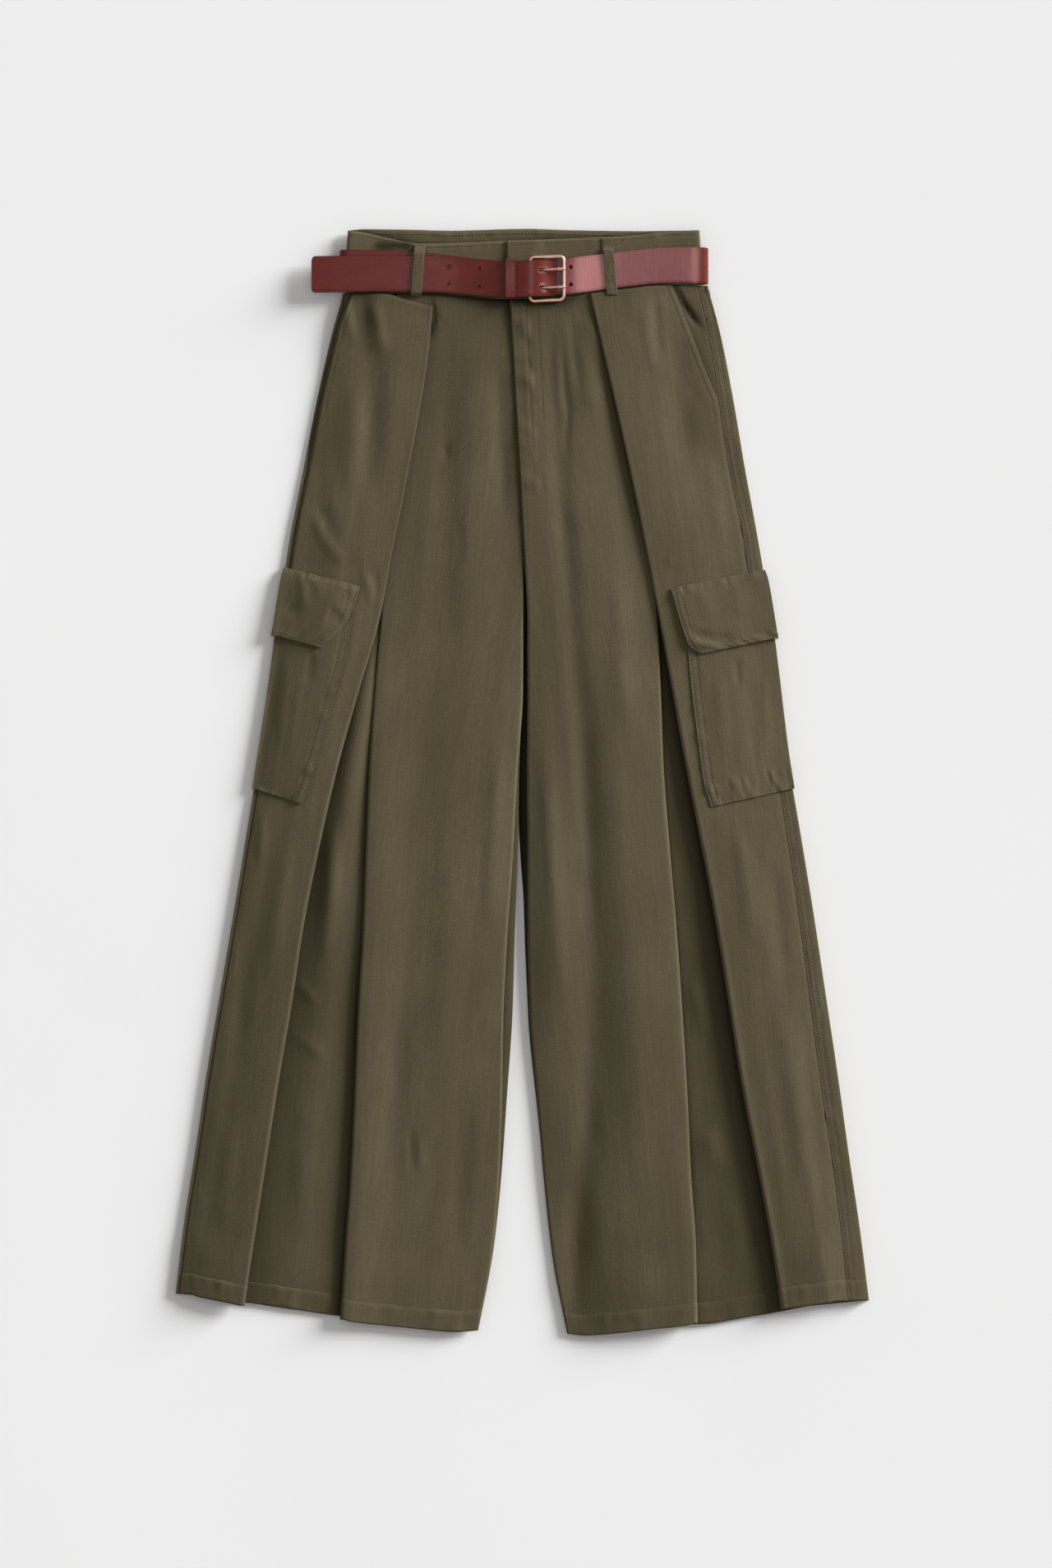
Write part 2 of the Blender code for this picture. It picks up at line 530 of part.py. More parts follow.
def facing(name, leg, collection):
    """The cloth that shows in the slant pocket's mouth and runs on under its edge."""
    grid = []
    top = leg.side_height(0.0)
    for y in np.linspace(top, leg.opening_low + FACING_END, FACING_ROWS):
        down = leg.side_down(y)
        under, side = leg.opening(y) - POCKET_UNDERLAP, leg.at("side", down)
        row = []
        for share in (0.0, 0.5, 1.0):
            x = mix(under, side, share)
            y_here = min(y, leg.waist(x) - GAP)
            z = layer(1, down) + FACING_RAISE * (1 - ease(0.0, 0.05, down)) + rise(y_here)
            row.append((leg.side * x, y_here, z))
        grid.append(row)
    sheet(name, grid, CLOTH, "cloth", collection)


# ---- cargo pockets -------------------------------------------------------------------
def side_panel_height(leg, x, y):
    """Height of the middle of the side panel's cloth under a point (x measured outwards)."""
    points = front_section(leg, leg.side_down(y))[:6]
    xs = [leg.side * point[0] for point in points][::-1]
    zs = [point[2] for point in points][::-1]
    return float(np.interp(x, xs, zs))


def patch(leg, table, above, swell):
    """A patch that lies on the side panel and turns down over the garment's side."""
    grid = []
    for r, values in enumerate(table):
        place = dict(zip(POCKET_COLUMNS, values))
        side_y = place["side_y"]
        outline = leg.at("outline", leg.side_down(side_y))
        along = r / (len(table) - 1)
        row = []
        for share in POCKET_SPREAD:
            x = mix(place["front_x"], outline, share)
            y = mix(place["front_y"], side_y, share)
            z = side_panel_height(leg, x, y) + above[r]
            z += swell * math.sin(math.pi * along) * math.sin(math.pi * share)
            row.append((leg.side * x, y, z))
        reach = outline + above[r] - GAP
        row.append((leg.side * reach, side_y, layer(1, 0.5) + above[r] - 0.1))
        row.append((leg.side * (reach + 0.1), side_y, 0.2 + 0.55 * above[r]))
        grid.append(row)
    return grid


def cargo_pocket(name, leg, table, collection):
    above = [POCKET_ABOVE] * len(table)
    sheet(name, patch(leg, table, above, POCKET_SWELL), CLOTH, "cloth", collection)


def cargo_flap(name, leg, table, collection):
    over_pocket = 2 * POCKET_ABOVE
    above = [POCKET_ABOVE, mix(POCKET_ABOVE, over_pocket, 0.9)]
    above += [over_pocket + FLAP_STEP * (step + 0.9) for step in range(len(table) - 2)]
    sheet(name, patch(leg, table, above, FLAP_SWELL), CLOTH, "cloth", collection)


# ---- waistband and belt loops --------------------------------------------------------
def waistband(collection):
    """One doubled strip: left front, round the back, right front, overlapping in front."""
    grid = []

    def add(x, z, top, low):
        upper = x * BAND_NARROWING
        middle = mix(x, upper, 0.5)
        grid.append([(upper, top(upper), z), (middle, mix(top(upper), low(x), 0.5), z),
                     (x, low(x), z)])

    left, right = BAND_LEFT + BAND / 2, BAND_RIGHT - BAND / 2
    for x in BAND_FRONT_LEFT + (left,):
        add(x, FRONT_BAND_Z, TOP_FRONT, LOW_FRONT)
    for x in (left,) + BAND_BACK + (right,):
        add(x, BACK_BAND_Z, TOP_BACK, LOW_BACK)
    for x in (right,) + BAND_FRONT_RIGHT:
        over = 1 - ease(8.0, 30.0, x)
        add(x, mix(FRONT_BAND_Z, OVER_BAND_Z, over), TOP_FRONT, LOW_FRONT)
    sheet("waistband", grid, BAND, "cloth", collection)


def belt_loop(name, path, ends, collection):
    """A flat loop of cloth along a path of (y, z), leaning from ends[0] to ends[1] in x."""
    top, low = path[0][0], path[-1][0]
    grid = []
    for y, z in path:
        x = mix(ends[0], ends[1], (top - y) / (top - low))
        grid.append([(x + side * LOOP_WIDTH / 2, y, z) for side in (-1, 0, 1)])
    sheet(name, grid, CLOTH, "cloth", collection)


# ---- belt and buckle -----------------------------------------------------------------
def belt_points():
    """Middle of the strap, with extra rows where the route's own points are far apart."""
    names = [row[0] for row in BELT_ROUTE]
    route = np.array([row[1:] for row in BELT_ROUTE])
    steps = np.linalg.norm(np.diff(route, axis=0), axis=1)
    along = np.concatenate([[0], np.cumsum(steps)])
    places = [0.0]
    for n, step in enumerate(steps):
        longest = BACK_STRAP_STEP if "back" in names[n:n + 2] else STRAP_STEP
        count = max(1, round(step / longest))
        places += [along[n] + step * (part + 1) / count for part in range(count)]
    return [[float(through(along, route[:, axis], place)) for axis in range(3)]
            for place in places]


def belt_strap(collection, cutters):
    points = belt_points()
    grid = []
    for n, (x, y, z) in enumerate(points):
        half = BELT_WIDTH / 2
        if n == len(points) - 1:
            half -= TIP_CORNER
        grid.append([(x, y + side * half, z) for side in (1, 0, -1)])
    near_tip = [mix(a, b, 1 - TIP_CORNER / STRAP_STEP) for a, b in zip(points[-2], points[-1])]
    row = [(near_tip[0], near_tip[1] + side * BELT_WIDTH / 2, near_tip[2]) for side in (1, 0, -1)]
    grid.insert(len(grid) - 1, row)
    strap = sheet("belt", grid, LEATHER, "leather", collection)
    upper = points[len(points) // 2:]
    for n, x in enumerate(HOLES_X):
        spot = min(upper, key=lambda p: abs(p[0] - x))
        after = upper[upper.index(spot) + (1 if spot[0] > x else -1)]
        share = (x - spot[0]) / (after[0] - spot[0])
        centre = [mix(a, b, share) for a, b in zip(spot, after)]
        for side in (-1, 1):
            place = (x, centre[1] + side * HOLE_ROWS / 2, centre[2])
            bpy.ops.mesh.primitive_cylinder_add(
                vertices=12, radius=HOLE_RADIUS * MM, depth=(LEATHER + 0.5) * MM,
                location=[value * MM for value in place])
            tool = bpy.context.active_object
            tool.name = f"hole_{n}_{side}"
            cut(strap, tool, cutters)
    for side in (-1, 1):
        prong_slot(f"slot_{side}", strap, side, STRAP_SLOT_X, STRAP_SLOT_Z, cutters)


def prong_slot(name, target, side, reach, depth, cutters):
    """A slot that a prong passes through."""
    x, z = (reach[0] + reach[1]) / 2, (depth[0] + depth[1]) / 2
    y = buckle_y(x) + side * PRONG_APART
    bpy.ops.mesh.primitive_cube_add(size=1.0, location=(x * MM, y * MM, z * MM))
    tool = bpy.context.active_object
    tool.name = name
    tool.scale = ((reach[1] - reach[0]) * MM, SLOT_WIDTH * MM, (depth[1] - depth[0]) * MM)
    bpy.ops.object.transform_apply(location=False, rotation=False, scale=True)
    cut(target, tool, cutters)


def belt_fold(collection, cutters):
    """The strap's end, wrapped round the buckle's hinge bar."""
    radius = WIRE + GAP + FOLD_LEATHER / 2
    half = FRAME_HALF_HEIGHT - FRAME_CORNER - GAP
    grid = []
    for n in range(FOLD_SIDES):
        angle = 2 * math.pi * n / FOLD_SIDES
        x, z = HINGE_X + radius * math.cos(angle), HINGE_Z - radius * math.sin(angle)
        grid.append([(x, buckle_y(HINGE_X) + side * half, z) for side in (-1, 1)])
    fold = sheet("belt_fold", grid, FOLD_LEATHER, "leather", collection, closed=True)
    for side in (-1, 1):
        prong_slot(f"fold_slot_{side}", fold, side, FOLD_SLOT_X, FOLD_SLOT_Z, cutters)


def keeper(collection):
    """The leather ring that holds the belt's two stretches together."""
    outline = []
    corners = ((1, 0, -90), (1, 1, 0), (0, 1, 90), (0, 0, 180))
    for y_end, z_end, start in corners:
        y = KEEPER["y"][y_end] + KEEPER_CORNER * (1 - 2 * y_end)
        z = KEEPER["z"][z_end] + KEEPER_CORNER * (1 - 2 * z_end)
        for turn in (0, 45, 90):
            angle = math.radians(start + turn)
            outline.append((y + KEEPER_CORNER * math.cos(angle),
                            z + KEEPER_CORNER * math.sin(angle)))
    grid = [[(x, y, z) for x in KEEPER["x"]] for y, z in outline]
    sheet("belt_keeper", grid, KEEPER_WALL, "leather", collection, closed=True)


def buckle_y(x):
    return BUCKLE_Y + BUCKLE_SLOPE * (x - BUCKLE_X)


def buckle_frame(collection):
    """A rounded rectangle of wire that slopes down from the hinge bar to the outer bar."""
    points = []
    corners = ((OUTER_X, 1), (HINGE_X, 1), (HINGE_X, -1), (OUTER_X, -1))
    for n, (corner_x, side) in enumerate(corners):
        inward = -1 if corner_x == OUTER_X else 1
        centre_x = corner_x + inward * FRAME_CORNER
        centre_y = side * (FRAME_HALF_HEIGHT - FRAME_CORNER)
        for step in range(6):
            angle = math.pi / 2 * (n + step / 5)
            x = centre_x + FRAME_CORNER * math.cos(angle)
            y = centre_y + FRAME_CORNER * math.sin(angle)
            z = mix(HINGE_Z, OUTER_Z, (x - HINGE_X) / (OUTER_X - HINGE_X))
            points.append((x, buckle_y(x) + y, z))
    wire("buckle_frame", points, WIRE, "rose_gold", collection, cyclic=True)


def prong(name, side, collection):
    points = [(x, buckle_y(x) + side * PRONG_APART, z) for x, z, _ in PRONG_ROUTE]
    made = wire(name, points, PRONG, "rose_gold", collection)
    for point, row in zip(made.data.splines[0].points, PRONG_ROUTE):
        point.radius = row[2]


# ---- build ---------------------------------------------------------------------------
def clear_scene():
    for old in list(bpy.data.objects):
        bpy.data.objects.remove(old, do_unlink=True)


def new_collection(name):
    made = bpy.data.collections.new(name)
    bpy.context.scene.collection.children.link(made)
    return made


def build():
    clear_scene()
    trousers = new_collection("cargo_trousers")
    cutters = new_collection("cutters")
    for side, leg in (("left", LEFT), ("right", RIGHT)):
        front_leg("front_" + side, leg, trousers)
        back_leg("back_" + side, leg, trousers)
        facing("pocket_facing_" + side, leg, trousers)
    cargo_pocket("cargo_pocket_left", LEFT, LEFT_POCKET, trousers)
    cargo_pocket("cargo_pocket_right", RIGHT, RIGHT_POCKET, trousers)
    cargo_flap("cargo_flap_left", LEFT, LEFT_FLAP, trousers)
    cargo_flap("cargo_flap_right", RIGHT, RIGHT_FLAP, trousers)
    waistband(trousers)
    belt_loop("belt_loop_front_left", LOOP_LEFT["path"], LOOP_LEFT["x"], trousers)
    belt_loop("belt_loop_front_right", LOOP_RIGHT["path"], LOOP_RIGHT["x"], trousers)
    for place, x in LOOP_BACK_X.items():
        belt_loop("belt_loop_back_" + place, LOOP_BACK, (x, x), trousers)
    belt_strap(trousers, cutters)
    belt_fold(trousers, cutters)
    keeper(trousers)
    buckle_frame(trousers)
    for name, side in (("upper", 1), ("lower", -1)):
        prong("buckle_prong_" + name, side, trousers)


build()
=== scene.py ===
"""Looks of the wide-leg cargo trousers with their belt, laid out flat and face up.

Every piece is a thin shell on the form of its CAD solid.  The sizes below are the garment's
own, in millimetres, in the frame's axes: +Y runs from the hems to the waist, +X to the right
of somebody looking down, and z is the height over the surface.  MM turns them into metres.
"""

import math

import bpy
import numpy as np
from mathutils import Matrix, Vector


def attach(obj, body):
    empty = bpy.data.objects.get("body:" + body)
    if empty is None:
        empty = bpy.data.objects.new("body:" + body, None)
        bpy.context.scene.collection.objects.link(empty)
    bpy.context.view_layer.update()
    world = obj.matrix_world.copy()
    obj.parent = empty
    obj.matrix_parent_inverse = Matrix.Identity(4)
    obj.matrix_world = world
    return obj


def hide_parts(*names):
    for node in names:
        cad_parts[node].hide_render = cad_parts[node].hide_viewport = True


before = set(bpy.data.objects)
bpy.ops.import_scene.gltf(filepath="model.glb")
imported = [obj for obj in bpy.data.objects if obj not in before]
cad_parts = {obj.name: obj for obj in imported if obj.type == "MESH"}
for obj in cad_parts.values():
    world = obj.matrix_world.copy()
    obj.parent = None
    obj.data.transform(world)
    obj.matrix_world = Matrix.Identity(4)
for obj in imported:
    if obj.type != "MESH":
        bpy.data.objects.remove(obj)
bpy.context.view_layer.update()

MM = 0.001

# ---- cloth ---------------------------------------------------------------------------
CLOTH = 1.0            # twill wall
HEM_CLOTH = 1.8        # turned-up hem, two thicknesses of cloth
HEM_DEPTH = 20.5       # height of the turned-up hem
GAP = 0.3              # between layers
BACK_LIFT = 5.1        # how far the waistband and the belt under it raise the back panels
LIFT_FROM = 390.0      # height up the garment (y) where that rise starts
LIFT_TO = 484.0        # and where it ends
SLOPE_CLEAR = 0.35     # room between the back and the front on that slope
PLEAT_RETURN = 45.0    # depth of each turned-under layer of the pleat
POCKET_UNDERLAP = 24.0 # facing hidden under the slant pocket's edge
FACING_END = 9.0       # the facing stops this far above the pocket mouth's lower end
LEG_LENGTH = 1033.0    # waist seam to hem, along the leg

# ---- waistband -----------------------------------------------------------------------
BAND = 2.0             # doubled cloth
BACK_BAND_Z = 5.4      # middle of the band's back stretch
FRONT_BAND_Z = 8.1     # middle of its front stretch
OVER_BAND_Z = 10.4     # middle of the overlapping end at the centre front
BAND_LEFT = -176.6     # the folded sides of the band
BAND_RIGHT = 179.4
BAND_NARROWING = 0.985 # its top edge is a little shorter than its lower edge
UNDER_END = 5.0        # where the left end stops, under the overlap
OVER_END = -15.0       # where the right end stops, on top
BAND_DEPTH = 55.0      # about, from its top edge to its lower one

# ---- belt ----------------------------------------------------------------------------
BELT_WIDTH = 36.5
LEATHER = 2.2
HOLE_ROWS = 17.5       # between the two rows of holes
HOLE_RADIUS = 1.6
KEEPER_WALL = 1.0
WIRE = 1.6             # radius of the buckle's wire
PRONG = 1.25           # radius of a prong
PLATED = 0.25          # the frame's wire looks this much thicker under its plating

# Where each leg's edges run.  down: fraction of the way from the waist seam to the hem.
# The others are distances from the middle of the garment: its outline, the side seam, the
# two pleat edges and the inner leg, with the back panel's inner edge beside it.
LEG_COLUMNS = ("down", "outline", "side", "fold1", "fold2", "inner", "back_inner")
LEFT_LEG = (
    (0.00, 178.5, 175.5, 89.8, 125.0, -3.7, -2.6),
    (0.05, 192.0, 188.5, 94.5, 123.0, -4.1, -2.6),
    (0.11, 205.5, 202.5, 104.0, 125.0, -5.0, -2.6),
    (0.18, 219.0, 216.0, 117.0, 129.0, -3.4, -2.4),
    (0.25, 232.5, 229.5, 131.0, 135.0, -1.4, -1.4),
    (0.31, 241.0, 238.0, 142.0, 140.0, -0.9, -0.9),
    (0.38, 249.9, 246.9, 161.8, 146.5, -0.6, -0.6),
    (0.46, 262.0, 259.0, 184.0, 152.4, 4.9, 3.4),
    (0.54, 274.8, 271.8, 202.4, 155.9, 9.3, 4.4),
    (0.62, 287.8, 284.8, 218.2, 159.0, 15.0, 7.6),
    (0.70, 301.2, 298.2, 230.4, 163.8, 18.9, 10.0),
    (0.78, 314.6, 311.6, 243.9, 167.3, 20.1, 15.5),
    (0.86, 326.3, 323.3, 256.2, 171.4, 23.4, 21.4),
    (0.93, 337.2, 334.2, 266.8, 176.6, 30.4, 29.3),
    (1.00, 345.6, 342.8, 277.6, 180.8, 43.9, 43.5),
)
RIGHT_LEG = (
    (0.00, 184.5, 174.5, 68.0, 92.0, -12.7, 2.9),
    (0.05, 198.0, 186.0, 79.5, 99.0, -9.5, 2.9),
    (0.11, 210.0, 195.3, 93.5, 108.0, -6.0, 2.9),
    (0.18, 222.0, 206.0, 109.0, 118.5, -2.0, 3.4),
    (0.25, 235.0, 220.5, 123.5, 127.5, 2.0, 5.0),
    (0.31, 245.0, 228.5, 135.0, 133.5, 5.0, 5.2),
    (0.38, 254.1, 239.3, 147.7, 137.3, 5.2, 5.2),
    (0.46, 264.0, 251.0, 162.2, 140.3, 4.6, 4.6),
    (0.54, 277.4, 263.5, 177.9, 146.5, 5.3, 5.3),
    (0.62, 290.6, 275.4, 193.1, 153.4, 5.3, 5.3),
    (0.70, 302.7, 286.0, 206.1, 159.1, 7.8, 7.8),
    (0.78, 314.8, 296.4, 219.1, 164.0, 15.3, 15.3),
    (0.86, 326.1, 308.4, 234.6, 167.8, 22.3, 22.3),
    (0.93, 336.6, 317.3, 247.6, 172.6, 30.7, 30.7),
    (1.00, 345.6, 324.3, 258.7, 173.8, 44.7, 44.7),
)
# Where the hem crosses each edge, as a height up the garment.
LEFT_HEM = {"side": -511.3, "fold1": -522.8, "fold2": -536.6, "inner": -547.0,
            "underlay1": -520.0, "underlay2": -529.5, "back_inner": -541.0}
RIGHT_HEM = {"side": -518.0, "fold1": -526.0, "fold2": -540.0, "inner": -550.6,
             "underlay1": -529.0, "underlay2": -539.0, "back_inner": -547.0}
# Columns across a front leg.  Each lies a share of the way from one edge to another, and its
# hem a share of the way between two edges' hems.  strips: how finely the cloth up to the
# next column is cut.  side, under and centre: how much of each panel's creases it takes.
FRONT_COLUMNS = (
    # place, from, to, share, hem from, hem to, hem share, strips, side, under, centre
    ("seam", "edge", "edge", 0.0, "side", "side", 0.0, 5, 0.2, 0, 0),
    ("side panel", "edge", "turn1", 0.5, "side", "side", 0.0, 5, 1, 0, 0),
    ("over turn1", "turn1", "fold1", 0.0, "side", "fold1", 0.25, 8, 1, 0, 0),
    ("side panel", "turn1", "fold1", 0.45, "side", "fold1", 0.6, 7, 1, 0, 0),
    ("side panel", "turn1", "fold1", 0.82, "side", "fold1", 0.9, 5, 0.5, 0, 0),
    ("fold1 upper", "fold1", "round1", 1.0, "fold1", "fold1", 0.0, 3, 0, 0, 0),
    ("fold1", "fold1", "fold1", 0.0, "fold1", "fold1", 0.0, 3, 0, 0, 0),
    ("fold1 lower", "fold1", "round1", 1.0, "fold1", "fold1", 0.0, 5, 0, 0, 0),
    ("return1", "fold1", "turn1", 0.5, "fold1", "side", 0.4, 5, 0, 0, 0),
    ("turn1 upper", "turn1", "turn1", 0.0, "fold1", "side", 0.75, 2, 0, 0, 0),
    ("turn1 lower", "turn1", "turn1", 0.0, "fold1", "side", 0.75, 9, 0, 0, 0),
    ("underlay", "turn1", "turn2", 0.33, "underlay1", "underlay1", 0.0, 9, 0, 1, 0),
    ("underlay", "turn1", "turn2", 0.5, "underlay1", "underlay2", 0.5, 9, 0, 1, 0),
    ("underlay", "turn1", "turn2", 0.67, "underlay2", "underlay2", 0.0, 9, 0, 1, 0),
    ("turn2 lower", "turn2", "turn2", 0.0, "fold2", "inner", 0.25, 2, 0, 0, 0),
    ("turn2 upper", "turn2", "turn2", 0.0, "fold2", "inner", 0.25, 5, 0, 0, 0),
    ("return2", "turn2", "fold2", 0.5, "fold2", "inner", 0.12, 5, 0, 0, 0),
    ("fold2 lower", "fold2", "round2", 1.0, "fold2", "fold2", 0.0, 3, 0, 0, 0),
    ("fold2", "fold2", "fold2", 0.0, "fold2", "fold2", 0.0, 3, 0, 0, 0),
    ("fold2 upper", "fold2", "round2", 1.0, "fold2", "fold2", 0.0, 5, 0, 0, 0.1),
    ("centre panel", "fold2", "turn2", 0.25, "fold2", "inner", 0.06, 9, 0, 0, 0.7),
    ("over turn2", "turn2", "turn2", 0.0, "fold2", "inner", 0.33, 10, 0, 0, 1),
    ("centre panel", "turn2", "inner", 0.4, "fold2", "inner", 0.7, 10, 0, 0, 1),
    ("centre panel", "turn2", "inner", 0.78, "fold2", "inner", 0.95, 7, 0, 0, 1),
    ("inseam", "inner", "inner", 0.0, "inner", "inner", 0.0, 0, 0, 0, 0.2),
)
# Columns of points across a back leg, as shares of the way from its inseam to its outline.
BACK_SPREAD = (0.0, 0.12, 0.5, 0.85)
BACK_STRIPS = (7, 4, 6, 14, 16, 6, 5)       # how finely it is cut, from the side inwards
# The left side panel droops from the band beside its pleat: how far each column starts low.
LEFT_DROOP = {2: 1.0, 3: 6.5, 4: 10.8, 5: 11.6, 6: 11.6, 7: 11.6, 8: 6.5, 9: 1.5, 10: 1.0}
# Slant pocket edges, as distance from the middle at a height up the garment.
LEFT_OPENING = ((491.0, 169.5), (455.0, 183.5), (431.0, 191.5), (398.0, 199.5), (370.0, 209.0))
RIGHT_OPENING = ((500.0, 147.0), (476.8, 156.7), (447.3, 168.5), (415.3, 180.6),
                 (387.4, 192.3), (366.0, 203.0))

FACING_RAISE = 1.2     # how far the seam at the waist climbs over the facing's end
FLY_RAISE = 1.5        # the fly's edge lies over the other leg's
FLY_WAIST_RAISE = 1.3  # and a little higher where the band crosses it
PUFF = 1.6             # how far the centre panel bellies up once the pleat is open
# Fractions of the way down a leg between which these come to their end.
WAIST_SEAM_END = (0.0, 0.05)        # the climb over the seam at the waist
MOUTH_END = (0.135, 0.175)          # the front's height over the pocket facing
FLY_END = (0.30, 0.36)              # the fly's height over the other leg
CLOSED_END = (0.30, 0.42)           # the closed part of the pleat
CROTCH_END = (0.36, 0.40)           # the two fronts' overlap

# How high the pleat edges stand once the pleat has opened, and how round they are.
PLEAT_COLUMNS = ("down", "open", "edge1", "round1", "edge2", "round2")
PLEAT = (
    (0.00, 0.0, 7.0, 0.65, 4.4, 0.65),
    (0.27, 0.0, 7.4, 0.75, 4.4, 0.65),
    (0.33, 0.25, 9.2, 1.3, 5.4, 0.9),
    (0.39, 0.75, 11.4, 1.8, 7.2, 1.3),
    (0.47, 1.0, 13.0, 2.1, 8.2, 1.6),
    (0.62, 1.0, 14.0, 2.2, 9.0, 1.7),
    (0.80, 1.0, 13.5, 2.2, 9.0, 1.7),
    (0.93, 1.0, 13.0, 2.3, 10.0, 1.9),
    (1.00, 1.0, 13.2, 2.5, 11.0, 2.1),
)

# Waistband: where it runs, seen from above.
BAND_TOP_FRONT = ((-175.4, 548.8), (-162.8, 547.6), (-135.1, 541.6), (-108.7, 536.4),
                  (-97.2, 535.6), (-65.2, 536.4), (-16.8, 538.5), (75.0, 541.9),
                  (116.0, 544.4), (141.0, 547.6), (179.8, 549.2))
BAND_TOP_BACK = ((-175.4, 548.8), (-155.6, 550.2), (-112.0, 549.8), (-73.6, 548.8),
                 (3.7, 550.6), (52.9, 549.2), (118.5, 548.4), (179.8, 549.2))
BAND_LOW_FRONT = ((-180.0, 486.4), (-150.0, 486.6), (-104.0, 486.0), (-70.0, 484.4),
                  (-38.5, 481.6), (-12.0, 480.4), (28.0, 481.7), (45.0, 483.5),
                  (80.0, 487.8), (111.8, 491.8), (139.6, 494.4), (184.0, 494.2))
BAND_LOW_BACK = ((-180.0, 486.4), (-120.0, 493.0), (-60.0, 494.3), (184.0, 494.3))

# Belt: its route from the buckle round the back to the tip, along the middle of the strap.
BELT_ROUTE = (
    ("hinge end", 4.4, 499.9, 14.9), ("keeper", -7.0, 500.1, 14.6),
    ("keeper", -18.0, 500.3, 14.2), ("left front", -38.5, 501.6, 12.1),
    ("left loop", -70.0, 505.6, 10.6), ("left loop", -104.0, 509.2, 10.5),
    ("left front", -150.0, 511.0, 10.5), ("left turn", -175.5, 511.5, 10.5),
    ("left turn", -179.2, 511.6, 9.5), ("left turn", -181.0, 511.7, 6.4),
    ("left turn", -179.2, 511.8, 3.4), ("left turn", -175.5, 511.9, 2.4),
    ("back", 0.0, 512.0, 2.4), ("right turn", 178.5, 512.8, 2.4),
    ("right turn", 182.6, 513.2, 3.4), ("right turn", 184.4, 513.5, 6.4),
    ("right turn", 182.6, 513.7, 9.5), ("right turn", 178.5, 513.9, 10.5),
    ("right front", 160.0, 514.5, 10.5), ("right front", 139.6, 514.2, 10.5),
    ("right loop", 111.8, 511.6, 10.5), ("right loop", 80.0, 507.6, 10.5),
    ("outer bar", 53.0, 504.2, 11.6),
    ("outer bar", 45.0, 503.2, 10.7), ("outer bar", 34.0, 502.2, 10.9),
    ("prongs", 28.0, 501.7, 12.3), ("prongs", 24.5, 501.4, 14.1),
    ("prongs", 20.5, 501.1, 16.6), ("hinge bar", 15.5, 500.8, 18.6),
    ("hinge bar", 8.0, 500.4, 19.4), ("hinge bar", 1.0, 500.1, 18.9),
    ("keeper", -7.0, 500.0, 17.8), ("keeper", -18.0, 500.2, 16.7),
    ("left front", -38.5, 501.2, 14.8), ("left loop", -70.0, 504.0, 13.2),
    ("left loop", -104.0, 505.4, 13.1), ("left front", -150.0, 505.8, 13.1),
    ("left edge", -185.0, 505.3, 13.0), ("tip", -210.0, 504.9, 12.6),
)
STRAP_STEP = 2.5       # rows along the strap
HOLES_X = (-73.1, -42.4, -6.0, 48.5)
# Right of the buckle the strap's front stretch is painted paler, most near the buckle and just
# before the right turn: a painted sheen where light glances off the leather. x, and how strong.
STRAP_PAINTED_SHEEN = ((0.0, 0.0), (41.0, 0.0), (50.0, 0.7), (60.0, 1.0), (78.0, 0.95), (92.0, 0.40),
              (110.0, 0.30), (150.0, 0.26), (166.0, 0.32), (172.0, 0.75), (177.0, 0.15),
              (184.0, 0.0))
PAINTED_SHEEN_Z = (7.0, 9.0)    # on the strap's front stretch alone
RIM = 0.5              # width of the edge paint
TIP_CORNER = 4.0

# Buckle: a bent wire frame, and two prongs that lie on its outer bar.
HINGE_X, HINGE_Z = 7.8, 14.9
OUTER_X, OUTER_Z = 41.4, 13.6
FRAME_HALF_HEIGHT = 21.7
FRAME_CORNER = 4.5
BUCKLE_X, BUCKLE_Y = 24.6, 500.6
BUCKLE_SLOPE = 0.045   # the buckle leans with the belt
PRONG_APART = 8.9      # each prong's distance from the middle of the buckle
SLOT_WIDTH = 3.4       # slots in the leather that the prongs pass through
STRAP_SLOT_X, STRAP_SLOT_Z = (16.6, 25.4), (10.0, 22.0)
FOLD_SLOT_X = (HINGE_X + 1.0, HINGE_X + 5.0)
FOLD_SLOT_Z = (HINGE_Z - 1.9, HINGE_Z + 1.9)
FOLD_LEATHER = 1.0     # the strap's end is pared thin where it wraps the hinge bar
PRONG_ROUTE = ((10.0, 14.9, 1.0), (16.8, 14.7, 1.0), (20.5, 15.7, 1.0), (24.5, 16.6, 1.0),
               (30.0, 16.8, 1.0), (34.4, 16.9, 1.0), (35.2, 17.4, 1.5), (41.0, 17.4, 1.5))
KEEPER = {"x": (-17.0, -7.0), "y": (480.9, 519.6), "z": (12.2, 20.2)}
KEEPER_CORNER = 1.6

# Belt loops: (y, z) along each one, and the x of its middle at top and bottom.
LOOP_WIDTH = 10.5
LOOP_LEFT = {"x": (-102.2, -106.0), "path": ((534.4, 9.9), (532.4, 10.2), (530.6, 12.8),
             (527.6, 14.4), (525.0, 15.3), (505.0, 15.3), (488.0, 15.3), (485.7, 14.6),
             (484.6, 12.8), (483.2, 11.4))}
LOOP_RIGHT = {"x": (84.4, 89.8), "path": ((541.2, 9.9), (534.0, 9.9), (531.6, 10.3),
              (529.8, 12.2), (527.6, 12.9), (508.0, 12.8), (495.0, 12.9), (491.0, 13.7),
              (484.6, 13.7))}
LOOP_BACK = ((534.5, 3.4), (532.6, 2.9), (531.6, 0.5), (512.0, 0.5), (492.4, 0.5),
             (491.4, 2.2), (488.5, 3.0))
LOOP_BACK_X = {"left": -105.0, "centre": 4.0, "right": 110.0}

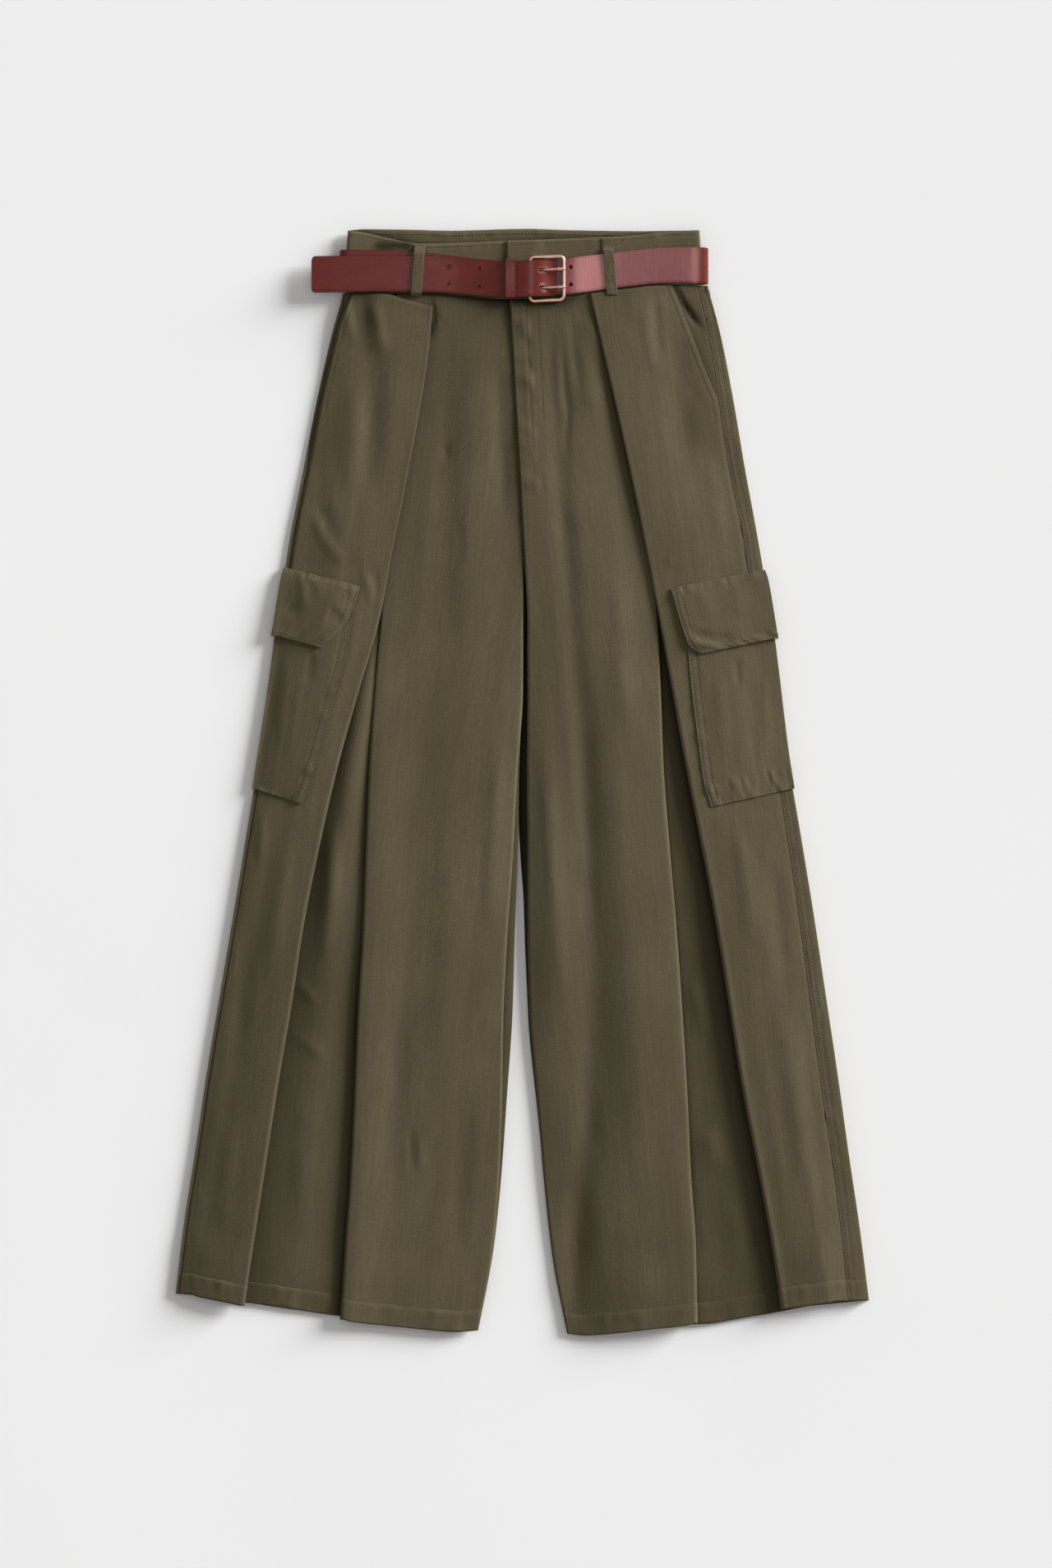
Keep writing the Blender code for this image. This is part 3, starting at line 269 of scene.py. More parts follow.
# Cargo pockets: each row is the front edge's x and y, then y where the row meets the side.
POCKET_COLUMNS = ("front_x", "front_y", "side_y")
LEFT_POCKET = ((165.0, 182.0, 200.0), (170.0, 160.0, 180.0), (176.7, 121.8, 140.0),
               (188.0, 82.0, 96.0), (197.0, 50.0, 62.0), (208.7, 9.4, 22.0),
               (216.0, -14.0, 0.5), (219.5, -22.6, -7.4))
RIGHT_POCKET = ((162.0, 168.0, 184.0), (164.0, 146.0, 162.0), (166.5, 116.0, 132.0),
                (169.2, 87.7, 102.0), (175.4, 38.1, 54.0), (181.6, -4.5, 12.0),
                (186.0, -19.0, -1.0), (188.2, -25.5, -7.4))
# Flaps: the same columns; the cut corner is where the front edge runs in at the bottom.
LEFT_FLAP = ((161.3, 193.5, 212.8), (164.0, 187.0, 203.0), (168.5, 173.0, 186.0),
             (175.0, 158.5, 169.0), (185.5, 145.5, 154.5), (201.3, 132.6, 144.7))
RIGHT_FLAP = ((147.8, 191.8, 210.3), (150.5, 184.0, 202.0), (155.0, 167.7, 186.0),
              (160.5, 150.0, 166.0), (167.0, 134.5, 150.0), (179.8, 127.0, 142.0))
POCKET_SPREAD = (0.0, 0.07, 0.26, 0.45, 0.64, 0.82, 0.965)
POCKET_ABOVE = CLOTH + GAP + 0.35   # pocket's cloth over the panel's, with room on slopes
FLAP_STEP = 0.45       # the flap stands off a little more with each row
PATCH_SMOOTH = (0.88, 0.94)         # share of the way across where its relief ends
PATCH_STRIPS = (3, 8, 10, 10, 10, 8, 3, 2)
POCKET_SWELL, FLAP_SWELL = 1.6, 1.2
PATCHES = {"left": (LEFT_POCKET, LEFT_FLAP), "right": (RIGHT_POCKET, RIGHT_FLAP)}

# ---- details that only the looks have ------------------------------------------------
# How far the laid cloth stands off its solid's form, down the leg: the loose roll down the
# outer side, the middle of the side panel, the two pleat edges, and four lines down the centre
# panel, the last of them its inner edge.  Last is the middle of the pleat's underlay.
LOOSE_COLUMNS = ("down", "roll", "side", "fold1", "fold2", "over2", "middle", "near", "inner",
                 "under")
LEFT_LOOSE = (
    (0.00, 0.0, 0.3, 0.0, 0.0, 0.3, 0.5, 0.3, 0.3, 0.0),
    (0.06, 0.4, 1.4, 2.2, 0.0, 0.5, 2.9, 4.0, 4.4, 0.0),
    (0.15, 0.8, 1.8, 3.2, 0.0, 0.6, 4.6, 5.7, 6.3, 0.0),
    (0.30, 1.8, 1.6, 2.0, 0.0, 1.4, 5.0, 6.0, 6.3, 1.0),
    (0.42, 2.4, 1.5, 0.5, 0.0, 3.0, 5.0, 7.0, 7.3, 5.0),
    (0.60, 3.2, 0.6, 0.8, 0.0, 3.0, 4.2, 6.6, 7.6, 2.6),
    (0.80, 2.8, 0.6, 2.2, 0.0, 2.0, 2.8, 5.6, 7.0, 1.0),
    (0.92, 2.8, 0.8, 3.0, 0.0, 1.5, 2.2, 4.8, 6.4, 0.6),
    (1.00, 2.2, 0.3, 0.5, 0.0, 0.3, 0.8, 3.0, 4.2, 0.2),
)
RIGHT_LOOSE = (
    (0.00, 0.0, 0.3, 0.0, 0.0, 0.5, 0.5, 0.3, 0.3, 0.0),
    (0.06, 1.5, -0.6, 3.6, 0.4, 3.4, 3.5, 4.2, 4.6, 0.0),
    (0.15, 3.0, -1.0, 5.0, 0.8, 5.0, 6.3, 6.5, 6.5, 0.0),
    (0.30, 4.0, -0.6, 3.2, 2.5, 6.2, 7.3, 6.6, 6.2, 0.0),
    (0.42, 5.0, 0.5, 0.5, 2.5, 7.3, 4.6, 5.9, 5.3, 0.0),
    (0.60, 7.0, 0.5, 0.0, 2.4, 8.5, 3.2, 6.2, 3.8, 0.0),
    (0.75, 8.0, 0.5, 0.0, 4.0, 9.4, 3.0, 3.8, 2.4, 0.0),
    (0.90, 8.0, 0.5, 0.0, 4.5, 9.4, 6.6, 1.8, 1.6, 0.0),
    (1.00, 5.5, 0.3, 0.0, 3.0, 4.6, 3.0, 1.5, 1.0, 0.0),
)
# How far the right leg's inner side shows beside its front panel, in the gap between the legs,
# where it is painted dark as painted shade for the shadow between the legs.
INNER_SIDE = ((0.00, 0.0), (0.18, 0.0), (0.22, 1.6), (0.25, 3.2), (0.31, 4.2), (0.38, 4.4),
              (0.41, 5.4), (0.48, 7.8), (0.51, 8.3), (0.55, 6.5), (0.59, 3.6), (0.67, 1.6),
              (0.75, 1.4), (0.86, 0.0), (1.00, 0.0))
# The underlay climbs towards the centre panel where the pleat opens: how far, and the
# fractions of the way down between which that starts and ends.
UNDER_TILT, TILT_START, TILT_END = 2.0, (0.34, 0.42), (0.58, 0.72)
HEM_BOW = {"under": 2.0, "centre": 2.8}   # how far the hems hang between their ends
BOW_START = (0.88, 1.0)
# Creases: each is a line of (x, y) points, its half width, and its height (a trough is below
# zero).
LEFT_CREASES = {
    "side": (((-168, 490), (-161, 466), (-152, 436)), 6, -2.7,
             ((-179, 484), (-175, 462), (-170, 436)), 6, 1.0,
             ((-149, 482), (-145, 450), (-138, 420)), 7, 1.3,
             ((-153, 470), (-150, 410), (-152, 350), (-158, 270)), 13, -2.0,
             ((-163, 410), (-166, 340), (-172, 280)), 12, 0.9,
             ((-212, 275), (-197, 243), (-174, 207)), 4, 1.1,
             ((-204, 282), (-196, 262), (-190, 232)), 5, -0.9,
             ((-195, 335), (-191, 300), (-189, 252)), 4, 0.5,
             ((-157, 209), (-151, 190), (-144, 168)), 5, 1.1,
             ((-149, 214), (-146, 190), (-150, 160)), 4, -0.8,
             ((-264, -26), (-259, -55), (-262, -84)), 6, 0.7,
             ((-234, -49), (-241, -120), (-252, -205)), 9, 0.8,
             ((-272, -120), (-279, -190), (-288, -280)), 10, -0.7,
             ((-288, -330), (-296, -390), (-300, -460)), 11, 0.7),
    "under": (((-226, -196), (-216, -210), (-203, -224)), 5, 0.8,
              ((-232, -252), (-214, -262), (-192, -279)), 6, 0.7,
              ((-187, -30), (-191, -110), (-199, -190)), 8, 1.6,
              ((-215, -300), (-219, -380), (-226, -460)), 12, 0.8),
    "centre": (((-46, 445), (-42, 300), (-48, 110)), 15, 0.4,
               ((-71, 400), (-74, 250), (-70, 60)), 12, -0.4,
               ((-95, 330), (-100, 200), (-104, 40)), 13, 0.3,
               ((-77, 338), (-76, 328), (-74, 318)), 3, -0.8,
               ((-64, 262), (-62, 240), (-63, 214)), 3, -0.5,
               ((-24, 430), (-20, 330), (-14, 230)), 8, -1.0,
               ((-22, 60), (-26, -60), (-33, -180)), 10, 1.0,
               ((-66, -20), (-72, -160), (-84, -330)), 18, 0.9,
               ((-112, -340), (-109, -366), (-108, -398)), 3, -0.6,
               ((-104, -352), (-102, -372), (-102, -392)), 3, 0.5,
               ((-126, -200), (-128, -300), (-136, -430)), 14, -0.8,
               ((-60, -300), (-62, -390), (-66, -500)), 12, -0.7),
}
RIGHT_CREASES = {
    "centre": (((30, 560), (31, 410), (34, 353), (39, 287), (46, 205), (52, 123), (61, 41),
                (66, -82), (68, -205), (63, -328)), 10, -1.2,
               ((68, -150), (68, -205), (66, -328), (55, -451), (45, -545), (35, -800)), 12, -1.5,
               ((62, 470), (68, 400), (74, 340)), 13, 1.0,
               ((39, 440), (42.7, 387), (46.5, 368), (44, 342), (44.4, 312)), 3, -0.7,
               ((33, 452), (36, 400), (38, 350)), 4, 0.4,
               ((60, 468), (76, 440), (88, 400)), 8, 1.0,
               ((22, 60), (30, -80), (42, -260)), 9, 1.0,
               ((92, 220), (99, 120), (106, 20)), 9, 0.7,
               ((48, 470), (52, 430), (60, 380)), 5, -0.7),
    "side": (((131, 484), (134, 450), (137, 410)), 4, -1.1,
             ((123, 478), (127, 440), (131, 400)), 7, 0.4,
             ((152, 478), (157, 400), (165, 290)), 14, -1.3,
             ((169, 398), (170, 384), (172, 370)), 3, -0.7,
             ((143, 222), (152, 214), (161, 216)), 4, 0.7,
             ((185, 330), (196, 270), (205, 222)), 8, 0.7,
             ((213, -36), (222, -95), (231, -170)), 8, 0.9,
             ((247, -60), (255, -130), (266, -230)), 9, -0.8,
             ((262, -220), (272, -310), (284, -420)), 11, 0.8,
             ((286, -290), (296, -370), (303, -450)), 8, -0.6),
    "under": (((184, -345), (189, -366), (195, -392)), 11, 1.3,
              ((167, -190), (176, -226), (186, -262)), 8, 0.9,
              ((160, -20), (170, -90), (176, -150)), 8, 0.8,
              ((205, -400), (213, -450), (216, -505)), 9, 0.9),
}
FLAP_CREASES = {
    "left": (((-219, 210), (-218, 190), (-217, 170)), 5, 0.9,
             ((-236, 176), (-228, 170), (-220, 164)), 7, -1.2,
             ((-196, 168), (-186, 163), (-180, 170)), 8, -1.3,
             ((-205, 205), (-203, 192), (-203, 178)), 6, 0.6),
    "right": (((166, 151), (176, 145), (190, 142), (216, 141)), 4.5, -1.8,
              ((164, 143), (176, 137), (200, 134)), 4, 0.9,
              ((213, 200), (215, 180), (216, 160)), 8, 0.7,
              ((180, 190), (183, 175), (184, 162)), 8, 0.6),
}
POCKET_CREASES = {
    "left": (((-232, 140), (-237, 90), (-244, 30)), 6, 0.9,
             ((-212, 134), (-211, 115), (-214, 92)), 5, -0.8,
             ((-221, 110), (-226, 70), (-233, 10)), 5, 0.6,
             ((-252, 110), (-262, 60), (-272, 10)), 9, -0.7),
    "right": (((213, 126), (214, 110), (216, 92)), 4, -0.8,
              ((241, 110), (242, 70), (246, 30)), 5, 0.6,
              ((196, 112), (198, 70), (203, 20)), 8, 0.7,
              ((226, 118), (229, 60), (234, 5)), 6, -0.5),
}
FACING_CREASE = (((142, 508), (150, 495), (160, 476), (182, 446)), 3.5, -2.4)
CREASE_DEPTH = 1.6     # all the panels' creases are this much deeper than their rows say
# The panels stand off a little, flatter near the waist and the hem (how far from each), and
# come no deeper than this under their solid.
RELIEF = {"stand": 0.5, "waist": 60, "hem": 70, "deepest": 0.3, "seed": {"left": 20, "right": 60}}
SIDE_FALL, FALL_START = 0.055, (0.02, 0.08)   # slope of the turned side down to the outline
INSEAM_RISE = (0.36, 0.5)           # the back's inner edge rises with the front's from here
# What follows a point's x, y and z in a front section: how much of each panel's creases it
# takes, how far it is on a fold, and last how far it stands off the solid.
SIDE, UNDER, CENTRE, FOLD = range(3, 7)
# And in a back section: how much it lies on top of the turned side, and how much painted shade it
# takes.
ON_TOP, PAINTED_SHADE = 3, 4

# Shade is painted shade: how far the cloth's colour is painted towards its shaded one, from 0 to
# 1.
# underlay: all over the pleat's bottom.  reach: how far the dark runs from the pleat's outer
# fold and from its inner one, times what spread says at a fraction of the way down.
# crack: a fine dark line under the inner fold.  folds: on the folds themselves.
# beside: on the centre panel beside the outer fold while the pleat is closed, and how far.
# panel: low on the side panel.  pocket: all over the cargo pocket.  fly: under the other
# front's fly.  hollows: a panel, a line on it, its half width, and how dark it is.
# rubbed is no shade, but how much of the folds' worn edge shows.
EVEN = ((0.0, 1.0), (1.0, 1.0))
SHADE = {
    "left": {"underlay": 0.03, "reach": (24.0, 8.0), "crack": 0.7, "folds": 0.4,
             "spread": (((0.0, 0.1), (0.39, 0.12), (0.43, 0.25), (0.51, 0.42), (0.60, 0.75),
                         (0.70, 1.0), (1.0, 1.0)),
                        ((0.0, 0.15), (0.39, 0.15), (0.51, 0.35), (0.60, 0.35), (0.70, 0.5),
                         (0.80, 0.9), (1.0, 1.0))),
             "beside": (0.34, 20.0), "panel": 0.096, "pocket": 0.08, "fly": 0.8, "rubbed": 0.1,
             "hollows": ((SIDE, ((-160, 496), (-153, 474), (-144, 440)), 8, 0.4),
                         (CENTRE, ((-89, 486), (-86, 464), (-92, 434)), 3, 0.9))},
    "right": {"underlay": 0.2, "reach": (11.0, 1.5), "crack": 0.0, "folds": 0.0,
              "spread": (EVEN, EVEN),
              "beside": (1.0, 5.0), "panel": 0.0, "pocket": 0.0, "fly": 0.0, "rubbed": 1.0,
              "hollows": ()},
}
OUTER_FOLD_SHADE, INNER_FOLD_SHADE = 0.8, 0.9     # how dark the pleat is beside its folds
WAIST_SHADE = (0.4, 6.0)        # under the waistband: how dark, and how far
# Under it on the centre panels: how dark, how much more near the fly and between which x that
# comes in and goes again, and how far.
FLY_SHADE = (0.25, 0.35, (-70, -15), (45, 75), 16.0)
SEAM_SHADE = (0.6, 0.9)         # at the side seam, and at the facing's edge
HOLLOW_SHADE = 0.8              # in the facing's crease
# On the fronts below the buckle; on the band over the belt, between two x; and on the band's
# back stretch over the edge of its front one, reaching more on the left.
BUCKLE_SHADE = {"dark": 0.45, "middle": 24, "half": 26, "y": (464, 482)}
SLOT_SHADE = {"y": 533.5, "width": 5.0, "from": (-152, -142), "to": (-114, -104)}
BEHIND_SHADE = {"dark": 0.9, "reach": 1.5, "more": 4.5, "from": (-95, -125)}
CRACK_WIDTH, FLY_REACH = 1.2, 2.0
PANEL_DARK_FROM = (0.50, 0.75)  # fractions of the way down

# Sewing: the thread, and how far from a piece's edge its rows lie.
THREAD = 0.26          # radius
STITCH, STITCH_PITCH = 2.3, 3.3
STITCH_START, STITCH_BOW = 0.8, 0.12   # where a row's first one starts, how far each bows up
GROOVE, GROOVE_WIDTH = 0.3, 0.9     # how far a row of stitches draws the cloth in
POCKET_ROWS = (1.8, 8.0)            # from the front edge
POCKET_LOW_ROWS = (1.8, 22.0)       # from the foot, the upper one on the right pocket alone
FLAP_ROWS = (1.8, 7.6)              # from each edge
SIDE_ROWS = (-2.2, -8.6)            # right side seam: into the back panel
MOUTH_ROW = 6.5                     # inside the slant pocket's edge
FLY_LOW = 326.0                     # height up the garment where the fly's stitching ends
# From the fly's edge; then, over FLY_LOW, where its groove starts, where that is as deep as it
# gets, and where its stitches start.
FLY_ROWS = ((15.0, 0, 8, 0), (26.5, 28, 36, 34), (2.0, -105, -95, -100))
FLY_RIDGE = {"height": 0.25, "inside": 3.5, "width": 2.2}   # beside the first of them
FLY_PUCKER_START = 60               # below FLY_LOW
BAND_ROW, BAND_LOW_ROW = 4.2, 46.0  # under the band's top edge, and where it meets the legs
BAND_END_ROW = 2.2                  # from the band's upper end
LOOP_ROW = 1.7                      # from a belt loop's edges
BACK_SEAMS = (21.7, 38.1, 45.5)     # inside the band's back stretch

COLOURS = {
    "twill": (0.108, 0.089, 0.049),
    "twill_dark": (0.077, 0.062, 0.032),
    "twill_worn": (0.184, 0.161, 0.103),
    # the twill as it looks in deep shade, for painted shade
    "twill_painted_shade": (0.013, 0.009, 0.004),
    "leather": (0.128, 0.017, 0.013),
    "leather_dark": (0.088, 0.011, 0.008),
    "leather_painted_sheen": (0.43, 0.165, 0.165),
    "edge_paint": (0.040, 0.008, 0.007),
    "rose_gold": (0.88, 0.58, 0.46),
    "copper": (0.76, 0.46, 0.35),
    "thread": (0.110, 0.095, 0.058),
    "floor": (0.86, 0.86, 0.865),
    "floor_light": (0.875, 0.875, 0.88),
}
WALE_TURN = 1.08       # radians: the way the twill's ribs run
# Worn edges are the cloth's own fading; the shade is painted shade.
WORN_SHARE, DEEP_SHARE = 0.35, 0.92       # how far worn edges and shade change the colour
EDGE_PAINT_SHARE = 0.85
# The cloth is painted a little darker towards the hem, a painted shade for less light there:
# millimetres down from the waist, and how much.
HEM_DARK_FROM, HEM_DARK = (450, 1050), 0.10


# ---- curves and tables ---------------------------------------------------------------
def through(stops, values, at):
    """A smooth curve through a table's values, with no overshoot between them."""
    stops = np.asarray(stops, float)
    values = np.asarray(values, float)
    step = np.diff(stops)
    slope = np.diff(values) / step
    tangent = np.empty(len(stops))
    tangent[0], tangent[-1] = slope[0], slope[-1]
    same = slope[:-1] * slope[1:] > 0
    total = slope[:-1] + slope[1:]
    tangent[1:-1] = np.where(same, 2 * slope[:-1] * slope[1:] / np.where(same, total, 1), 0)
    i = np.clip(np.searchsorted(stops, at) - 1, 0, len(step) - 1)
    t = np.clip((at - stops[i]) / step[i], 0, 1)
    a = (1 + 2 * t) * (1 - t) ** 2 * values[i] + t * t * (3 - 2 * t) * values[i + 1]
    b = t * (1 - t) ** 2 * tangent[i] - t * t * (1 - t) * tangent[i + 1]
    return a + b * step[i]


def mix(a, b, t):
    return a + (b - a) * t


def ease(low, high, value):
    t = np.clip((value - low) / (high - low), 0.0, 1.0)
    return t * t * (3 - 2 * t)


def curve_table(rows):
    """Turn rows of (x, y) into a function of x."""
    xs, ys = zip(*sorted(rows))
    return lambda x: through(xs, ys, x)


def look_up(table, columns, name, down):
    """The value in a table's named column, a fraction of the way down a leg."""
    table = np.asarray(table)
    return float(through(table[:, 0], table[:, columns.index(name)], down))


def arc_length(points):
    """How far along a line of points each one is."""
    return np.concatenate([[0], np.cumsum(np.linalg.norm(np.diff(points, axis=0), axis=1))])


def bell(off, width):
    """1 in the middle, and dying away to both sides."""
    return np.exp(-(off / width) ** 2)


def fading(off, reach):
    """1 at an edge, and dying away from it."""
    return np.exp(-off / reach)


class Leg:
    """One leg: its tables, and the side of the garment that it is on."""

    def __init__(self, name, side, rows, hem, opening, droop, loose, creases):
        self.name, self.side, self.hem, self.droop = name, side, hem, droop
        self.rows, self.loose_rows, self.creases = np.array(rows), np.array(loose), creases
        self.opening = curve_table(opening)
        self.opening_low = min(y for y, _ in opening)
        self.shade = SHADE[name]

    def at(self, edge, down):
        return look_up(self.rows, LEG_COLUMNS, edge, down)

    def pleat(self, name, down):
        return look_up(PLEAT, PLEAT_COLUMNS, name, down)

    def loose(self, name, down):
        """How far a part of the cloth stands off its solid."""
        return look_up(self.loose_rows, LOOSE_COLUMNS, name, down)

    def waist(self, x):
        """Height of the seam under the waistband, x measured outwards."""
        return float(LOW_FRONT(self.side * x)) - GAP

    def side_height(self, down):
        return mix(self.waist(self.at("side", 0.0)), self.hem["side"], down)

    def side_down(self, y):
        """The fraction of the way down that the side seam has come at a height."""
        top = self.waist(self.at("side", 0.0))
        return (top - y) / (top - self.hem["side"])

    def edge(self, down):
        """The front panel's outer edge: the slant pocket, then the side seam."""
        y = self.side_height(down)
        side = self.at("side", down)
        if y < self.opening_low:
            return side
        return min(side, float(self.opening(y)))


INNER_REACH = curve_table(INNER_SIDE)
TOP_FRONT, TOP_BACK = curve_table(BAND_TOP_FRONT), curve_table(BAND_TOP_BACK)
LOW_FRONT, LOW_BACK = curve_table(BAND_LOW_FRONT), curve_table(BAND_LOW_BACK)
LEFT = Leg("left", -1, LEFT_LEG, LEFT_HEM, LEFT_OPENING, LEFT_DROOP, LEFT_LOOSE, LEFT_CREASES)
RIGHT = Leg("right", 1, RIGHT_LEG, RIGHT_HEM, RIGHT_OPENING, {}, RIGHT_LOOSE, RIGHT_CREASES)


def lift(y):
    """The back panels climb over the belt and the waistband near the waist."""
    return BACK_LIFT * ease(LIFT_FROM, LIFT_TO, y)


def rise(y):
    """The front climbs with the back, and a little clear of it on the slope."""
    slope = ease(LIFT_FROM - 30, LIFT_FROM, y) * (1 - ease(LIFT_TO - 8, LIFT_TO + 4, y))
    return lift(y) + SLOPE_CLEAR * slope


def wall(down):
    """The cloth's thickness: doubled where the hem is turned up."""
    return HEM_CLOTH if down > 1 - (HEM_DEPTH + 0.5) / LEG_LENGTH else CLOTH


def layer(number, down):
    """Middle of a layer of the front, counted up from the back panel, which is layer 0."""
    room = mix(CLOTH, HEM_CLOTH, ease(0.92, 0.965, down))
    return (number + 0.5) * room + number * GAP


# ---- unevenness ----------------------------------------------------------------------
def noise(u, v, seed):
    """Smooth noise from 0 to 1 on a lattice with cells one unit wide."""
    table = np.random.RandomState(seed).rand(257, 257)
    iu, iv = np.floor(u).astype(int), np.floor(v).astype(int)
    fu, fv = u - iu, v - iv
    fu, fv = fu * fu * (3 - 2 * fu), fv * fv * (3 - 2 * fv)
    iu, iv = iu % 256, iv % 256
    low = mix(table[iu, iv], table[iu + 1, iv], fu)
    high = mix(table[iu, iv + 1], table[iu + 1, iv + 1], fu)
    return mix(low, high, fv)


def crease(x, y, points, width, height):
    """A soft ridge or trough along a line, uneven in height, that runs out at its ends."""
    points = np.array(points, float)
    legs = np.linalg.norm(np.diff(points, axis=0), axis=1)
    before = arc_length(points)
    nearest, along = np.full(x.shape, 1e9), np.zeros(x.shape)
    for n, (start, end) in enumerate(zip(points, points[1:])):
        run = end - start
        t = ((x - start[0]) * run[0] + (y - start[1]) * run[1]) / (legs[n] ** 2)
        inside = np.clip(t, 0, 1)
        off = np.hypot(x - start[0] - inside * run[0], y - start[1] - inside * run[1])
        closer = off < nearest
        nearest = np.where(closer, off, nearest)
        along = np.where(closer, before[n] + inside * legs[n], along)
    share = along / before[-1]
    fade = ease(0, 0.3, share) * ease(0, 0.35, 1 - share)
    uneven = 0.75 + 0.5 * noise(along / 28, points[0, 0] + 0 * along, 5)
    return height * fade * uneven * bell(nearest, width)


def creases(x, y, rows):
    """The sum of a flat run of rows: points, half width, height, and again."""
    return sum(crease(x, y, *rows[n:n + 3]) for n in range(0, len(rows), 3))


def crinkle(u, v, seed, strength=1.0):
    """Fine washed-cloth crinkles, much longer down the cloth than across it."""
    fine = noise(u / 5.5, v / 38, seed) - 0.5
    mid = noise(u / 14, v / 110, seed + 1) - 0.5
    broad = noise(u / 45, v / 260, seed + 2) - 0.5
    return strength * (0.16 * fine + 0.55 * mid + 1.1 * broad)


def pucker(along, off, low, high, seed, height, pitch=7.0):
    """Small ridges across a seam, between two distances from an edge."""
    window = ease(low - 3, low + 1.5, off) * (1 - ease(high - 1.5, high + 3.5, off))
    ridge = noise(along / pitch, off / 16, seed) * noise(along / (2.3 * pitch), 0 * off, seed + 1)
    return height * window * (2.2 * ridge - 0.35)


def groove(off):
    """Where a row of stitches draws the cloth in; off is the distance from it."""
    return -GROOVE * bell(off, GROOVE_WIDTH)


# ---- grids of cloth ------------------------------------------------------------------
def distances(grid, axis):
    """How far each point is along its row (axis 1) or its column (axis 0)."""
    steps = np.linalg.norm(np.diff(grid[..., :3], axis=axis), axis=2)
    start = np.zeros_like(np.take(steps, [0], axis=axis))
    return np.concatenate([start, np.cumsum(steps, axis=axis)], axis=axis)


def measured(grid):
    """How far each point is across a grid, down from its top, and up from its foot."""
    across, below = distances(grid, 1), distances(grid, 0)
    return across, below, below[-1:] - below


def spread(control, strips, near_start=(), near_end=()):
    """Cut each row of control points finely, and closer still at rows of stitches, given as
    distances from the row's two ends.  The first three values are curved, the rest straight."""
    fine = []
    for row in np.asarray(control, float):
        steps = np.maximum(np.linalg.norm(np.diff(row[:, :3], axis=0), axis=1), 1e-3)
        arc = np.concatenate([[0], np.cumsum(steps)])
        at = [arc[i] + steps[i] * part / n for i, n in enumerate(strips) for part in range(n)]
        at = np.sort(np.concatenate([at, [arc[-1]], near_start, arc[-1] - np.array(near_end)]))
        least = np.arange(len(at)) * 0.02
        at = np.minimum(np.maximum.accumulate(at - least) + least, arc[-1])
        curved = [through(arc, row[:, axis], at) for axis in range(3)]
        straight = [np.interp(at, arc, row[:, axis]) for axis in range(3, row.shape[1])]
        fine.append(np.stack(curved + straight, axis=1))
    return np.array(fine)


def around(*lines):
    """Distances on both sides of rows of stitches, where the grid is cut closer."""
    return [line + off for line in lines for off in (-1.6, -0.7, 0.0, 0.7, 1.6)]


def normals(grid):
    """Which way each point of a grid faces."""
    across = np.gradient(grid, axis=1)
    down = np.gradient(grid, axis=0)
    facing = np.cross(across, down)
    return facing / np.maximum(np.linalg.norm(facing, axis=2, keepdims=True), 1e-9)


def raised(grid, height):
    """A grid moved along its normals, with up as the side that it starts on."""
    facing = normals(grid)
    turn = np.sign(facing[0, 0, 2]) or 1.0
    return grid + facing * turn * height[..., None]


# ---- meshes --------------------------------------------------------------------------
MATERIALS = {}


def place(name, mesh, material, nodes):
    """Put a mesh in the scene, riding on the garment in place of its CAD nodes."""
    made = bpy.data.objects.new(name, mesh)
    mesh.materials.append(MATERIALS[material])
    bpy.context.scene.collection.objects.link(made)
    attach(made, "root")
    if nodes:
        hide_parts(*nodes)
    return made


def mesh_of(name, points, faces):
    mesh = bpy.data.meshes.new(name)
    mesh.from_pydata((np.asarray(points).reshape(-1, 3) * MM).tolist(), [], faces)
    return mesh


def grid_faces(rows, columns):
    return [(here, here + 1, here + columns + 1, here + columns)
            for r in range(rows - 1) for here in range(r * columns, (r + 1) * columns - 1)]


def ring_faces(rings, size, closed=False, start=0):
    """Faces between rings of points, with one over each end unless the last ring joins the
    first one."""
    faces = []
    for r in range(rings if closed else rings - 1):
        for c in range(size):
            a, b, d = start + r * size, start + (r + 1) % rings * size, (c + 1) % size
            faces.append((a + c, a + d, b + d, b + c))
    if not closed:
        faces.append(tuple(reversed(range(start, start + size))))
        faces.append(tuple(range(start + (rings - 1) * size, start + rings * size)))
    return faces


def attribute(mesh, name, values):
    """Keep a value for each point, for the material to read."""
    values = np.asarray(values, np.float32)
    vector = values.shape[-1] == 3 and values.ndim == 3
    made = mesh.attributes.new(name, "FLOAT_VECTOR" if vector else "FLOAT", "POINT")
    made.data.foreach_set("vector" if vector else "value", values.ravel())


def weave_of(grid, column):
    """Each point's place on the flat cloth: across from a column, and down from the top."""
    across = distances(grid, 1)
    across = across - across[:, column:column + 1]
    down = distances(grid, 0)
    middle = down[:, down.shape[1] // 2]
    return np.stack([across, np.repeat(middle[:, None], across.shape[1], 1),
                     np.zeros_like(across)], axis=2)


def cloth(name, grid, thickness, worn, column=0, shares=None, shade=0.0):
    """A wall of cloth on a grid of points: rows along it, columns across it."""
    grid = grid[..., :3]
    rows, columns = grid.shape[:2]
    mesh = mesh_of(name, grid, grid_faces(rows, columns))
    attribute(mesh, "weave", weave_of(grid, column))
    attribute(mesh, "worn", np.clip(worn, 0, 1))
    # shade: painted shade, which the twill material reads
    attribute(mesh, "shade", shade + 0 * grid[..., 0])
    made = place(name, mesh, "twill", [name])
    solid = made.modifiers.new("wall", "SOLIDIFY")
    solid.thickness = thickness * MM
    solid.offset = 0.0
    solid.use_even_offset = True
    solid.use_quality_normals = True
    if shares is not None:
        group = made.vertex_groups.new(name="share")
        for r, share in enumerate(shares):
            group.add(list(range(r * columns, (r + 1) * columns)), share, "REPLACE")
        solid.vertex_group = "share"
    mesh.shade_smooth()
    mesh.set_sharp_from_angle(angle=math.radians(50))
    return made


